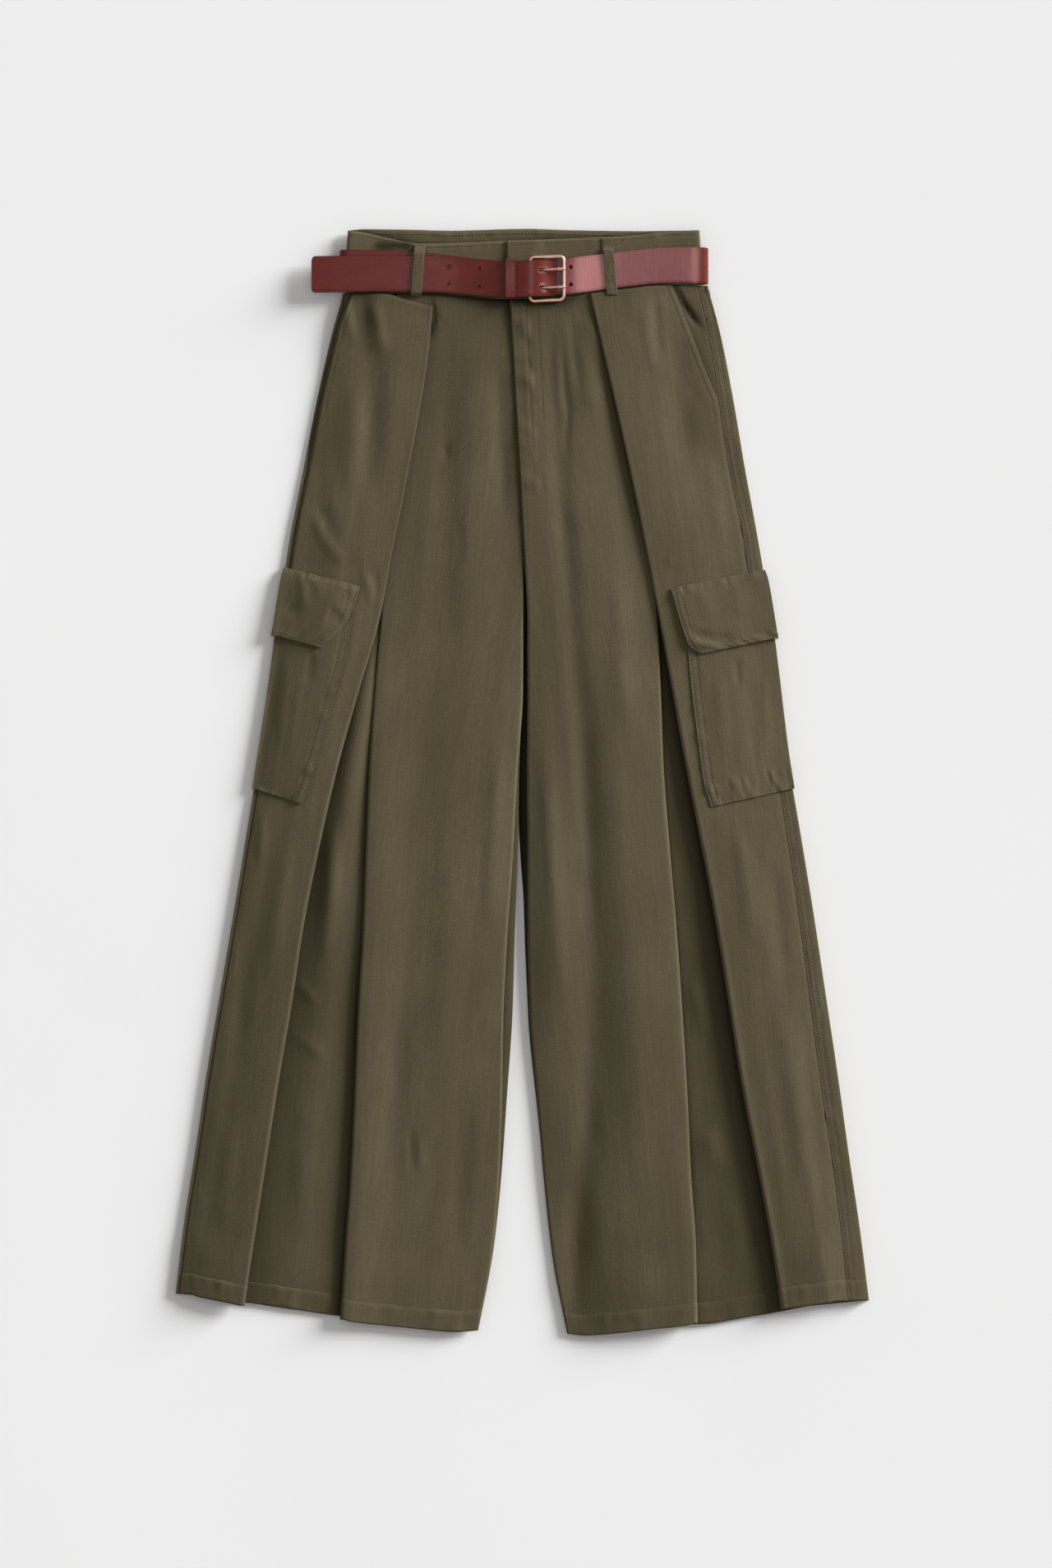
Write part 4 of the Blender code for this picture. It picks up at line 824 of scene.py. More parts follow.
def cut_size(grid):
    """Width and length in metres of the flat cut that a grid was laid from, and its area."""
    widths = distances(grid, 1)[:, -1]
    length = distances(grid, 0)[-1].mean()
    area = float((widths[1:] + widths[:-1]).mean() / 2 * length)
    return (widths.max() * MM, length * MM), area * MM * MM


def declare(grid):
    flat, area = cut_size(grid)
    area = min(area, flat[0] * flat[1])


# ---- sewing --------------------------------------------------------------------------
def line_at(grid, field, value, axis, keep=None):
    """The line on a grid where a field has a value, looked for across each row (axis 1) or
    down each column (axis 0), with the way that the cloth faces there."""
    facing = normals(grid)
    facing = facing * (np.sign(facing[0, 0, 2]) or 1.0)
    if axis == 0:
        grid, facing, field = (np.swapaxes(a, 0, 1) for a in (grid, facing, field))
        keep = None if keep is None else keep.T
    points = []
    for n, (row, ways, values) in enumerate(zip(grid, facing, field)):
        order = np.argsort(values)
        spot = [np.interp(value, values[order], row[order, k]) for k in range(3)]
        way = [np.interp(value, values[order], ways[order, k]) for k in range(3)]
        if keep is None or np.interp(value, values[order], keep[n][order]) > 0.5:
            points.append(spot + way)
    return np.array(points)


def sew(name, lines, lift_by):
    """Rows of stitches along lines of points, each lying on its cloth."""
    points, faces = [], []
    sides = 5
    profile = ((0.0, 0.35), (0.14, 1.0), (0.86, 1.0), (1.0, 0.35))   # share of it, thickness
    for line in lines:
        along = arc_length(line[:, :3])
        for n in range(int((along[-1] - 1.0) / STITCH_PITCH)):
            ends = STITCH_START + n * STITCH_PITCH + np.array([0.0, STITCH])
            a, b = (np.array([np.interp(e, along, line[:, k]) for k in range(6)]) for e in ends)
            up = (a[3:] + b[3:]) / 2
            up /= max(np.linalg.norm(up), 1e-6)
            run = b[:3] - a[:3]
            if not 0.5 * STITCH < np.linalg.norm(run) < 1.5 * STITCH:
                continue
            side = np.cross(run / np.linalg.norm(run), up)
            faces += ring_faces(len(profile), sides, start=len(points))
            for share, wide in profile:
                centre = a[:3] + run * share + up * (lift_by + STITCH_BOW * wide)
                for k in range(sides):
                    angle = 2 * math.pi * k / sides
                    off = side * math.cos(angle) + up * math.sin(angle)
                    points.append(centre + off * THREAD * wide)
    mesh = mesh_of(name, points, faces)
    mesh.shade_smooth()
    return place(name, mesh, "thread", [])


# ---- front legs ----------------------------------------------------------------------
def by_row(value, downs):
    """What a function gives at each fraction of the way down, as a column."""
    return np.array([[value(down)] for down in downs])


def leg_downs():
    """Where the sections are, closer together at the hem."""
    above = np.concatenate([[31, 28, 25.4, 23.4], HEM_DEPTH + np.array([1.6, 0.7, 0, -0.7, -1.6]),
                            np.linspace(17.4, 0, 9)])
    return np.concatenate([np.linspace(0, 1 - 34 / LEG_LENGTH, 232), 1 - above / LEG_LENGTH])


def front_edges(leg, down):
    """Where the named edges of a front leg are, as distances from the middle."""
    least = (wall(down) + GAP) / 2
    edges = {name: leg.at(name, down) for name in ("fold1", "fold2", "inner")}
    edges["edge"] = leg.edge(down)
    edges["turn1"] = edges["fold1"] + PLEAT_RETURN
    edges["turn2"] = edges["fold2"] - PLEAT_RETURN
    edges["round1"] = edges["fold1"] + max(leg.pleat("round1", down), least)
    edges["round2"] = edges["fold2"] - max(leg.pleat("round2", down), least)
    return edges


def front_levels(leg, down, edges):
    """Height of each of FRONT_COLUMNS' cloth over the lie of the back panel, and how much of
    it is loose."""
    under, upper2, upper3, upper4, upper5 = (layer(number, down) for number in range(1, 6))
    opened = leg.pleat("open", down)
    waist = 1 - ease(*WAIST_SEAM_END, down)
    pocket = 1 - ease(*MOUTH_END, down)
    fly = (1 - ease(*FLY_END, down)) if leg.side > 0 else 0.0
    edge1 = leg.pleat("edge1", down) + leg.loose("fold1", down)
    edge2 = leg.pleat("edge2", down) + leg.loose("fold2", down)
    roll, side = leg.loose("roll", down), leg.loose("side", down)
    over2_loose = leg.loose("over2", down)
    low1 = edge1 - 2 * (edges["round1"] - edges["fold1"])
    low2 = edge2 - 2 * (edges["fold2"] - edges["round2"])
    over1, back1 = mix(upper5, upper3 + 0.3, opened), mix(upper4, upper2, opened)
    over2 = upper3 + 0.3 * opened
    seam = under + FACING_RAISE * waist + (wall(down) + GAP) * pocket
    inner = under + FACING_RAISE * waist + fly * (FLY_RAISE + FLY_WAIST_RAISE * waist)
    puff = PUFF * opened
    tilt = UNDER_TILT * ease(*TILT_START, down) * (1 - ease(*TILT_END, down))
    levels = (seam, mix(seam, over1, 0.42) + 0.4 * opened, over1, mix(over1, edge1, 0.55),
              mix(over1, edge1, 0.94), edge1, (edge1 + low1) / 2, low1, mix(low1, back1, 0.55),
              back1, under, under, under + 0.5 * tilt, under + tilt, under, upper2,
              mix(upper2, low2, 0.45), low2, (edge2 + low2) / 2, edge2, mix(edge2, over2, 0.1),
              over2, mix(over2, inner, 0.5) + puff, inner + 0.7 * puff, inner)
    # by number in FRONT_COLUMNS; the pleat edges have theirs in edge1 and edge2
    loose_by = {0: roll, 1: roll + 0.7 * side, 2: roll + side, 3: 0.45 * (roll + side),
                12: leg.loose("under", down),
                20: 0.15 * over2_loose, 21: over2_loose, 22: leg.loose("middle", down),
                23: leg.loose("near", down), 24: leg.loose("inner", down)}
    return levels, [loose_by.get(n, 0.0) for n in range(len(levels))]


def front_section(leg, down):
    """Points across a front leg, from its side seam, round the pleat, to its inseam."""
    top, here = front_edges(leg, 0.0), front_edges(leg, down)
    levels, loose = front_levels(leg, down, here)
    points = []
    for n, column in enumerate(FRONT_COLUMNS):
        name, start, end, share, hem_start, hem_end, hem_share = column[:7]
        side, under, centre = column[8:]
        x = mix(here[start], here[end], share)
        waist = leg.waist(mix(top[start], top[end], share)) - leg.droop.get(n, 0.0)
        hem = mix(leg.hem[hem_start], leg.hem[hem_end], hem_share)
        bow = HEM_BOW["under"] * under + HEM_BOW["centre"] * centre
        y = mix(waist, hem, down) - bow * ease(*BOW_START, down)
        fold = 1.0 if name in ("fold1", "fold2") else 0.45 * ("fold" in name)
        points.append((leg.side * x, y, levels[n] + loose[n] + rise(y), side, under, centre,
                       fold, loose[n]))
    return points


def under_pocket(leg, x, y):
    """1 where the cargo pocket lies on the side panel, and 0 clear of it."""
    pocket, flap = PATCHES[leg.name]
    rows = sorted([(row[1], row[0]) for row in flap[:3] + pocket[2:]])
    front = np.interp(y, [row[0] for row in rows], [row[1] for row in rows])
    low, high = pocket[-1][1], flap[0][2]
    beside = ease(front - 5, front + 3, leg.side * x)
    return beside * ease(low - 12, low, y) * (1 - ease(high, high + 12, y))


def front_relief(leg, fine, across, below, above):
    """How far each point of a front leg stands off its smooth section."""
    x, y, _, side, under, centre, _, loose = np.moveaxis(fine, 2, 0)
    panels = {"side": side, "under": under, "centre": centre}
    taken = side + under + centre
    height = RELIEF["stand"] * taken * ease(0, RELIEF["waist"], below)
    for panel, rows in leg.creases.items():
        height = height + panels[panel] * CREASE_DEPTH * creases(x, y, rows)
    seed = RELIEF["seed"][leg.name]
    height = height + taken * crinkle(across, below, seed, 0.5)
    height = height * (1 - side * under_pocket(leg, x, y))
    flatter = 1 - 0.4 * (1 - ease(0, RELIEF["hem"], above))
    height = np.maximum(height * flatter, -loose - RELIEF["deepest"])
    shown = np.clip(taken, 0, 1)
    height = height + shown * pucker(across, above, 2, HEM_DEPTH - 1.5, seed + 7, 0.8)
    height = height + groove(above - HEM_DEPTH)
    height = height + shown * pucker(below, across, 0, 7, seed + 9, 0.5) * ease(0, 9, across)
    if leg.side > 0:
        height = height + fly_relief(y, across[:, -1:] - across, below)
    mouth = (y > leg.opening_low - 4) * 1.0
    return height + mouth * groove(across - MOUTH_ROW)


def fly_relief(y, off, below):
    """The fly on the right front: its rows of stitches and the puckers beside them.  off is
    the distance from the fly's edge."""
    up = y - FLY_LOW
    rows = sum(ease(start, full, up) * groove(off - row) for row, start, full, _ in FLY_ROWS)
    row, start, full, _ = FLY_ROWS[0]
    ridge = ease(start, full, up) * FLY_RIDGE["height"]
    ridge = ridge * bell(off - row + FLY_RIDGE["inside"], FLY_RIDGE["width"])
    beside = pucker(below, off, 1, 17, 33, 1.5, 7.0) * ease(-FLY_PUCKER_START, 0, up)
    return rows + ridge + beside


def front_shade(leg, fine, downs, across, below):
    """How much painted shade each point of a front leg takes: see SHADE."""
    looks = leg.shade
    x, y, _, side, under, centre, fold, _ = np.moveaxis(fine, 2, 0)
    out = leg.side * x
    to_fold1 = np.maximum(by_row(lambda down: leg.at("fold1", down), downs) - out, 0)
    to_fold2 = np.maximum(out - by_row(lambda down: leg.at("fold2", down), downs), 0)
    to_fly = np.maximum(by_row(lambda down: RIGHT.at("inner", down), downs) - x, 0)
    downs = downs[:, None]
    reach1, reach2 = (reach * curve_table(rows)(downs)
                      for reach, rows in zip(looks["reach"], looks["spread"]))
    shade = looks["underlay"] + OUTER_FOLD_SHADE * fading(to_fold1, reach1)
    shade = shade + INNER_FOLD_SHADE * fading(to_fold2, reach2)
    shade = under * (shade + looks["crack"] * fading(to_fold2, CRACK_WIDTH))
    shade = shade + looks["panel"] * side * ease(*PANEL_DARK_FROM, downs)
    dark, reach = looks["beside"]
    closed = ease(0.0, 0.03, downs) * (1 - ease(*CLOSED_END, downs))
    shade = shade + dark * closed * centre * fading(to_fold1, reach)
    dark, reach = WAIST_SHADE
    shade = shade + dark * fading(below, reach)
    dark, more, left_end, right_end, reach = FLY_SHADE
    near_fly = dark + more * ease(*left_end, x) * (1 - ease(*right_end, x))
    shade = shade + near_fly * centre * fading(below, reach)
    dark, reach = SEAM_SHADE
    shade = shade + dark * fading(across, reach)
    off = (x - BUCKLE_SHADE["middle"]) / BUCKLE_SHADE["half"]
    shade = shade + BUCKLE_SHADE["dark"] * np.exp(-off ** 4) * ease(*BUCKLE_SHADE["y"], y)
    shade = shade + looks["fly"] * (1 - ease(*CROTCH_END, downs)) * fading(to_fly, FLY_REACH)
    shade = shade + looks["folds"] * fold
    for column, line, width, dark in looks["hollows"]:
        shade = shade + fine[..., column] * crease(x, y, line, width, dark)
    return np.clip(shade, 0, 1)


def front_leg(leg):
    near_end = around(*(row for row, *_ in FLY_ROWS[:2])) if leg.side > 0 else ()
    downs = leg_downs()
    strips = [column[7] for column in FRONT_COLUMNS[:-1]]
    fine = spread([front_section(leg, down) for down in downs], strips,
                  around(MOUTH_ROW), near_end)
    across, below, above = measured(fine)
    grid = raised(fine[..., :3], front_relief(leg, fine, across, below, above))
    worn = fine[..., FOLD] * (0.15 + 0.45 * noise(above / 30, above * 0, 8))
    worn = (leg.shade["rubbed"] * worn + 0.5 * fading(above, 2.5)
            + 0.35 * bell(above - HEM_DEPTH + 1.5, 2))
    made = cloth("front_" + leg.name, grid, HEM_CLOTH, worn, column=fine.shape[1] // 2,
                 shares=[wall(down) / HEM_CLOTH for down in downs],
                 shade=front_shade(leg, fine, downs, across, below))
    lines = [line_at(grid, above, HEM_DEPTH, 0, (fine[..., panel] > 0.05) * 1.0)
             for panel in (SIDE, UNDER, CENTRE)]
    lines.append(line_at(grid, across, MOUTH_ROW, 1, (grid[..., 1] > leg.opening_low) * 1.0))
    if leg.side > 0:
        off = across[:, -1:] - across
        for row, _, _, low in FLY_ROWS:
            lines.append(line_at(grid, off, row, 1, (grid[..., 1] > FLY_LOW + low) * 1.0))
    thread = sew("stitches_front_" + leg.name, [line for line in lines if len(line) > 4],
                 CLOTH / 2)
    declare(fine[..., :3])


# ---- back legs and facings -----------------------------------------------------------
def back_section(leg, down):
    """Points across a back leg: flat on the surface, then turned up round the side."""
    outline, side = leg.at("outline", down), leg.at("side", down)
    inner = leg.at("back_inner", down)
    reach = float(INNER_REACH(down)) if leg.side > 0 else 0.0
    low = wall(down) / 2
    high = layer(1, down) + leg.loose("roll", down)
    rise_in = leg.loose("inner", down) * float(ease(*INSEAM_RISE, down))
    turn = outline - wall(down) / 2
    # Painted shade on the inner side where it shows in the gap.
    deep = float(ease(0.0, 1.0, reach))
    points = []
    for share in BACK_SPREAD:
        waist = mix(LOW_BACK(0.0) - GAP, leg.waist(leg.at("side", 0.0)), share ** 2)
        hem = mix(leg.hem["back_inner"], leg.hem["side"], share)
        y = mix(waist, hem, down)
        if share == 0.0:
            foot = low + rise_in * (1 - float(ease(0.0, 3.0, reach)))
            points.append((inner - max(reach, 0.3), y, foot, 0.0, deep))
        first = share == 0.0
        points.append((mix(inner, turn, share), y, low + rise_in * first, 0.0, deep * first))
    y_side, on_top = leg.side_height(down), float(ease(5, 10, outline - side))
    edge_high = high - SIDE_FALL * (outline - side) * float(ease(*FALL_START, down))
    points += [(turn, y_side, low, 0.0, 0.0), (turn, y_side, edge_high, 0.5 * on_top, 0.0),
               (side + GAP, y_side, high, on_top, 0.0)]
    return [(leg.side * x, y, z + lift(y), *rest) for x, y, z, *rest in points]


def back_leg(leg):
    downs = leg_downs()
    twin = leg.side > 0
    fine = spread([back_section(leg, down)[::-1] for down in downs], BACK_STRIPS,
                  around(*(-row for row in SIDE_ROWS)) if twin else ())
    across, below, above = measured(fine)
    on_top = fine[..., ON_TOP]
    height = on_top * pucker(below, across, 0, 10, 71, 0.5)
    height = height * ease(0, 25, below) * ease(0, 3, above)
    height = height + groove(above - HEM_DEPTH) * on_top
    room_there = by_row(lambda down: leg.at("outline", down) - leg.at("side", down), downs)
    sewn = {row: ease(0.5, 2.5, room_there + row) * twin for row in SIDE_ROWS}
    for row in SIDE_ROWS:
        height = height + groove(across + row) * on_top * sewn[row]
    grid = raised(fine[..., :3], height)
    grid[..., 2] = np.maximum(grid[..., 2], by_row(lambda down: wall(down) / 2, downs))
    made = cloth("back_" + leg.name, grid, HEM_CLOTH, 0.5 * fading(above, 2.5),
                 column=fine.shape[1] // 2, shares=[wall(down) / HEM_CLOTH for down in downs],
                 shade=fine[..., PAINTED_SHADE])
    if twin:
        lines = [line_at(grid, across, -row, 1, sewn[row] + 0 * across) for row in SIDE_ROWS]
        sew("stitches_side_seam_right", lines, CLOTH / 2)
    declare(fine[..., :3])


def facing(leg):
    """The cloth that shows in the slant pocket's mouth and runs on under its edge."""
    grid = []
    for y in np.linspace(leg.side_height(0.0), leg.opening_low + FACING_END, 60):
        down = leg.side_down(y)
        under, side = leg.opening(y) - POCKET_UNDERLAP, leg.at("side", down)
        row = []
        for share in np.linspace(0, 1, 24):
            x = mix(under, side, share)
            y_here = min(y, leg.waist(x) - GAP)
            z = layer(1, down) + FACING_RAISE * (1 - ease(*WAIST_SEAM_END, down)) + rise(y_here)
            z += leg.loose("roll", down) * ease(0.3, 1.0, share)
            row.append((leg.side * x, y_here, z))
        grid.append(row)
    flat = np.array(grid, float)
    across, below, _ = measured(flat)
    open_part = ease(POCKET_UNDERLAP, POCKET_UNDERLAP + 6, across)
    height = 0.5 * crinkle(across, below, 44) * open_part
    hollow = 0 * across
    edge = SEAM_SHADE[0] * fading(across[:, -1:] - across, SEAM_SHADE[1])
    if leg.side > 0:
        line, width, deep = FACING_CREASE
        hollow = crease(flat[..., 0], flat[..., 1], line, width, 1.0)
        height = height + open_part * deep * hollow
    made = cloth("pocket_facing_" + leg.name, raised(flat, height), CLOTH, 0 * across,
                 shade=np.clip(HOLLOW_SHADE * hollow + edge, 0, 1))
    declare(flat)


# ---- cargo pockets -------------------------------------------------------------------
def side_panel_height(leg, x, y):
    """Height of the middle of the side panel's cloth under a point (x measured outwards)."""
    points = front_section(leg, leg.side_down(y))[:6]
    xs = [leg.side * point[0] for point in points][::-1]
    zs = [point[2] for point in points][::-1]
    return float(np.interp(x, xs, zs))


def patch(leg, table, above, swell, rows):
    """A patch that lies on the side panel and turns down over the garment's side."""
    table = np.array(table)
    stops = np.linspace(0, 1, len(table))
    grid = []
    for along in np.linspace(0, 1, rows):
        place_here = {name: float(through(stops, table[:, n], along))
                      for n, name in enumerate(POCKET_COLUMNS)}
        stand = float(np.interp(along, stops, above))
        side_y = place_here["side_y"]
        outline = leg.at("outline", leg.side_down(side_y))
        row = []
        for share in POCKET_SPREAD:
            x = mix(place_here["front_x"], outline, share)
            y = mix(place_here["front_y"], side_y, share)
            z = side_panel_height(leg, x, y) + stand
            z += swell * math.sin(math.pi * along) * math.sin(math.pi * share)
            row.append((leg.side * x, y, z))
        reach = outline + stand - GAP
        roll = leg.loose("roll", leg.side_down(side_y))
        row.append((leg.side * reach, side_y, layer(1, 0.5) + roll + stand - 0.1))
        row.append((leg.side * (reach + 0.1), side_y, 0.2 + 0.55 * stand))
        grid.append(row)
    return grid


def sewn_patch(name, control, rows_front, rows_low, rows_top, wrinkles, seed, dark=0.0):
    """A pocket or flap on its control points, with its rows of stitches."""
    fine = spread(control, PATCH_STRIPS, around(*rows_front))
    across, below, above = measured(fine)
    sides = 1 - ease(*PATCH_SMOOTH, across / across[:, -1:])
    height = 0.6 * crinkle(across, below, seed) + creases(fine[..., 0], fine[..., 1], wrinkles)
    height = height * ease(0, 6, across) * ease(0, 5, below) * ease(0, 5, above)
    worn = 0 * across
    edges = (  # distance from it and along it, rows, seed, puckers' height and pitch, worn
        (across, below, rows_front, seed + 3, 0.7, 6.0, 0.6, 0.2),
        (above, across, rows_low, seed + 5, 0.9, 4.0, 0.6, 0.25),
        (below, across, rows_top, seed + 6, 0.8, 4.0, 0.5, 0.0))
    for off, along, rows, number, rough, pitch, worn_edge, worn_row in edges:
        worn = worn + worn_edge * fading(off, 1.6)
        if rows:
            height = height + pucker(along, off, 0, rows[-1], number, rough, pitch)
        for row in rows:
            height = height + groove(off - row)
            worn = worn + worn_row * bell(off - row + 1.6, 1.4)
    grid = raised(fine, np.maximum(height, -1.0) * sides)
    # dark: painted shade all over the piece
    made = cloth(name, grid, CLOTH, worn, column=fine.shape[1] // 2, shade=dark)
    within = (across > 1.0) * (sides > 0.5) * 1.0
    lines = [line_at(grid, across, row, 1, (above > 1) * 1.0) for row in rows_front]
    lines += [line_at(grid, off, row, 0, within)
              for off, rows in ((above, rows_low), (below, rows_top)) for row in rows]
    thread = sew("stitches_" + name, lines, CLOTH / 2)
    declare(fine)


def cargo_pocket(leg):
    table = PATCHES[leg.name][0]
    above = [POCKET_ABOVE] * len(table)
    control = patch(leg, table, above, POCKET_SWELL, 90)
    low = POCKET_LOW_ROWS[:1] if leg.side < 0 else POCKET_LOW_ROWS
    sewn_patch("cargo_pocket_" + leg.name, control, POCKET_ROWS, low, (),
               POCKET_CREASES[leg.name], 80, leg.shade["pocket"])


def cargo_flap(leg):
    table = PATCHES[leg.name][1]
    over_pocket = 2 * POCKET_ABOVE
    above = [POCKET_ABOVE, mix(POCKET_ABOVE, over_pocket, 0.9)]
    above += [over_pocket + FLAP_STEP * (step + 0.9) for step in range(len(table) - 2)]
    control = patch(leg, table, above, FLAP_SWELL, 44)
    sewn_patch("cargo_flap_" + leg.name, control, FLAP_ROWS, FLAP_ROWS, FLAP_ROWS,
               FLAP_CREASES[leg.name], 90)


# ---- waistband and belt loops --------------------------------------------------------
def waistband():
    """One doubled strip: left front, round the back, right front, overlapping in front."""
    left, right = BAND_LEFT + BAND / 2, BAND_RIGHT - BAND / 2
    turn = (FRONT_BAND_Z - BACK_BAND_Z) / 2
    stations = [(x, FRONT_BAND_Z, 0.0) for x in np.arange(UNDER_END, left + 2, -3.0)]
    backs = [(x, BACK_BAND_Z, 1.0) for x in np.arange(left + 4, right - 3, 3.0)]
    for edge, way, z, after in ((left, -1, FRONT_BAND_Z, backs), (right, 1, BACK_BAND_Z, [])):
        for share in np.linspace(0, 1, 7):
            angle = math.pi * share
            stations.append((edge + way * turn * (math.sin(angle) - 1),
                             z + way * turn * (1 - math.cos(angle)),
                             share if way < 0 else 1 - share))
        stations += after
    for x in np.arange(right - 4, OVER_END, -3.0):
        stations.append((x, mix(FRONT_BAND_Z, OVER_BAND_Z, 1 - float(ease(8.0, 30.0, x))), 0.0))
    stations.append((OVER_END, OVER_BAND_Z, 0.0))
    rows = []
    shares = np.sort(np.concatenate([np.linspace(0, 1, 12),
                                     np.array(around(BAND_ROW, BAND_LOW_ROW)) / BAND_DEPTH]))
    for x, z, back in stations:
        upper = x * BAND_NARROWING
        top = mix(float(TOP_FRONT(upper)), float(TOP_BACK(upper)), back)
        low = mix(float(LOW_FRONT(x)), float(LOW_BACK(x)), back)
        rows.append([(mix(upper, x, s), mix(top, low, s), z) for s in shares])
    flat = np.array(rows)
    x, y, z = np.moveaxis(flat, 2, 0)
    down_by, along, to_end = measured(flat)
    from_back = np.abs(z - BACK_BAND_Z)
    behind = (from_back < 0.5) * 1.0
    height = groove(down_by - BAND_ROW) + 0.45 * crinkle(along * 2, down_by * 4, 12)
    height = height + pucker(along, down_by, 0, 7, 14, 0.5, 5.0)
    height = height * ease(0, 2, down_by) * ease(0, 2, down_by[:, -1:] - down_by)
    for seam in BACK_SEAMS:
        height = height - 0.8 * behind * groove((x - seam) * 0.5)
    worn = 0.75 * fading(down_by, 1.6) + 0.8 * fading(to_end, 2.0)
    grid = raised(flat, height)
    reach = BEHIND_SHADE["reach"] + BEHIND_SHADE["more"] * ease(*BEHIND_SHADE["from"], x)
    shade = ((from_back < 1.0) * BEHIND_SHADE["dark"]
             * fading(np.maximum(y - TOP_FRONT(x), 0), reach))
    over_belt = ease(*SLOT_SHADE["from"], x) * (1 - ease(*SLOT_SHADE["to"], x))
    over_belt = over_belt * (z > FRONT_BAND_Z - 0.5)
    shade = shade + over_belt * bell(y - SLOT_SHADE["y"], SLOT_SHADE["width"])
    made = cloth("waistband", grid, BAND, worn, shade=shade)
    inner = line_at(grid, down_by, BAND_ROW, 1, behind)
    inner[:, 3:] *= -1
    lines = [line_at(grid, down_by, BAND_ROW, 1), line_at(grid, to_end, BAND_END_ROW, 0), inner]
    thread = sew("stitches_waistband", lines, BAND / 2)
    declare(flat)


def smooth_path(points, step):
    """Points a step apart along a smooth curve through the given ones."""
    points = np.array(points, float)
    arc = arc_length(points)
    at = np.linspace(0, arc[-1], max(3, int(arc[-1] / step)))
    return np.stack([through(arc, points[:, k], at) for k in range(points.shape[1])], axis=1)


def belt_loop(name, path, ends):
    """A folded and twice-stitched strip of cloth that holds the belt."""
    points = smooth_path(path, 0.9)
    top, low = points[0, 0], points[-1, 0]
    offs = np.linspace(-0.5, 0.5, 17) * LOOP_WIDTH
    flat = np.array([[(mix(*ends, (top - y) / (top - low)) + off, y, z) for off in offs]
                     for y, z in points])
    across, along, _ = measured(flat)
    edge = np.minimum(across, LOOP_WIDTH - across)
    height = groove(edge - LOOP_ROW) * 0.8 + 0.25 * pucker(along, edge, 0, 3, 15, 1.0, 4.0)
    grid = flat + np.stack([0 * height, 0 * height, height * ease(0, 1, edge)], axis=2)
    made = cloth(name, grid, CLOTH, 0.7 * fading(edge, 0.9))
    lines = [line_at(grid, across, row, 1) for row in (LOOP_ROW, LOOP_WIDTH - LOOP_ROW)]
    if np.median(flat[..., 2]) < BACK_BAND_Z:
        for line in lines:
            line[:, 3:] = (0, 0, 1)
    thread = sew("stitches_" + name, lines, CLOTH / 2)
    declare(flat)


# ---- belt and buckle -----------------------------------------------------------------
def strip_section(half, thick, corner):
    """A rounded strip's outline as (across, through), the upper face first."""
    top = [(u, thick / 2) for u in np.linspace(-half + corner, half - corner, 12)]
    turn = [(half - corner + corner * math.sin(a), thick / 2 - corner + corner * math.cos(a))
            for a in np.linspace(0, math.pi / 2, 4)[1:]]
    edge = top + turn
    return edge + [(-u, -w) for u, w in edge]


def tangents(path, closed):
    """The way that a line of points runs at each of them."""
    if closed:
        run = np.roll(path, -1, axis=0) - np.roll(path, 1, axis=0)
    else:
        run = np.gradient(path, axis=0)
    return run / np.linalg.norm(run, axis=1, keepdims=True)


def sweep(name, centres, axis, halves, thick, corner, closed=False):
    """A leather strip with rounded edges, swept along its middle; axis points across it."""
    centres, axis = np.asarray(centres, float), np.array(axis, float)
    normal = np.cross(tangents(centres, closed), axis)
    normal /= np.linalg.norm(normal, axis=1, keepdims=True)
    along = arc_length(centres)
    points, weave, rim = [], [], []
    for n, centre in enumerate(centres):
        for u, w in strip_section(halves[n], thick, corner):
            points.append(centre + axis * u + normal[n] * w)
            weave.append((u, along[n], 0.0))
            rim.append(math.exp(-(halves[n] - abs(u)) / RIM))
    rings = len(centres)
    mesh = mesh_of(name, points, ring_faces(rings, len(points) // rings, closed))
    attribute(mesh, "weave", np.array(weave)[None])
    attribute(mesh, "worn", np.array(rim))
    x, _, z = np.array(points).T
    # Painted sheen on the strap's front stretch, for the material to read.
    attribute(mesh, "painted_sheen", curve_table(STRAP_PAINTED_SHEEN)(x) * ease(*PAINTED_SHEEN_Z, z))
    mesh.shade_smooth()
    mesh.set_sharp_from_angle(angle=math.radians(55))
    return place(name, mesh, "leather", [name])


def drill(target, cutters):
    """Take the cutters out of a piece for good."""
    for cutter in cutters:
        boolean = target.modifiers.new("cut", "BOOLEAN")
        boolean.object = cutter
        boolean.operation = "DIFFERENCE"
    bpy.context.view_layer.update()
    whole = target.evaluated_get(bpy.context.evaluated_depsgraph_get())
    cut_mesh = bpy.data.meshes.new_from_object(whole)
    target.modifiers.clear()
    target.data = cut_mesh
    for cutter in cutters:
        bpy.data.objects.remove(cutter)


def cutter_cylinder(x, y, z, radius, depth):
    bpy.ops.mesh.primitive_cylinder_add(vertices=20, radius=radius * MM, depth=depth * MM,
                                        location=(x * MM, y * MM, z * MM))
    return bpy.context.active_object


def prong_slots(reach, depth):
    """Cutters for the two prongs' slots, between two x and two z."""
    x, z = sum(reach) / 2, sum(depth) / 2
    boxes = []
    for side in (-1, 1):
        y = buckle_y(x) + side * PRONG_APART
        bpy.ops.mesh.primitive_cube_add(size=1.0, location=(x * MM, y * MM, z * MM))
        box = bpy.context.active_object
        box.scale = ((reach[1] - reach[0]) * MM, SLOT_WIDTH * MM, (depth[1] - depth[0]) * MM)
        boxes.append(box)
    return boxes


def buckle_y(x):
    return BUCKLE_Y + BUCKLE_SLOPE * (x - BUCKLE_X)


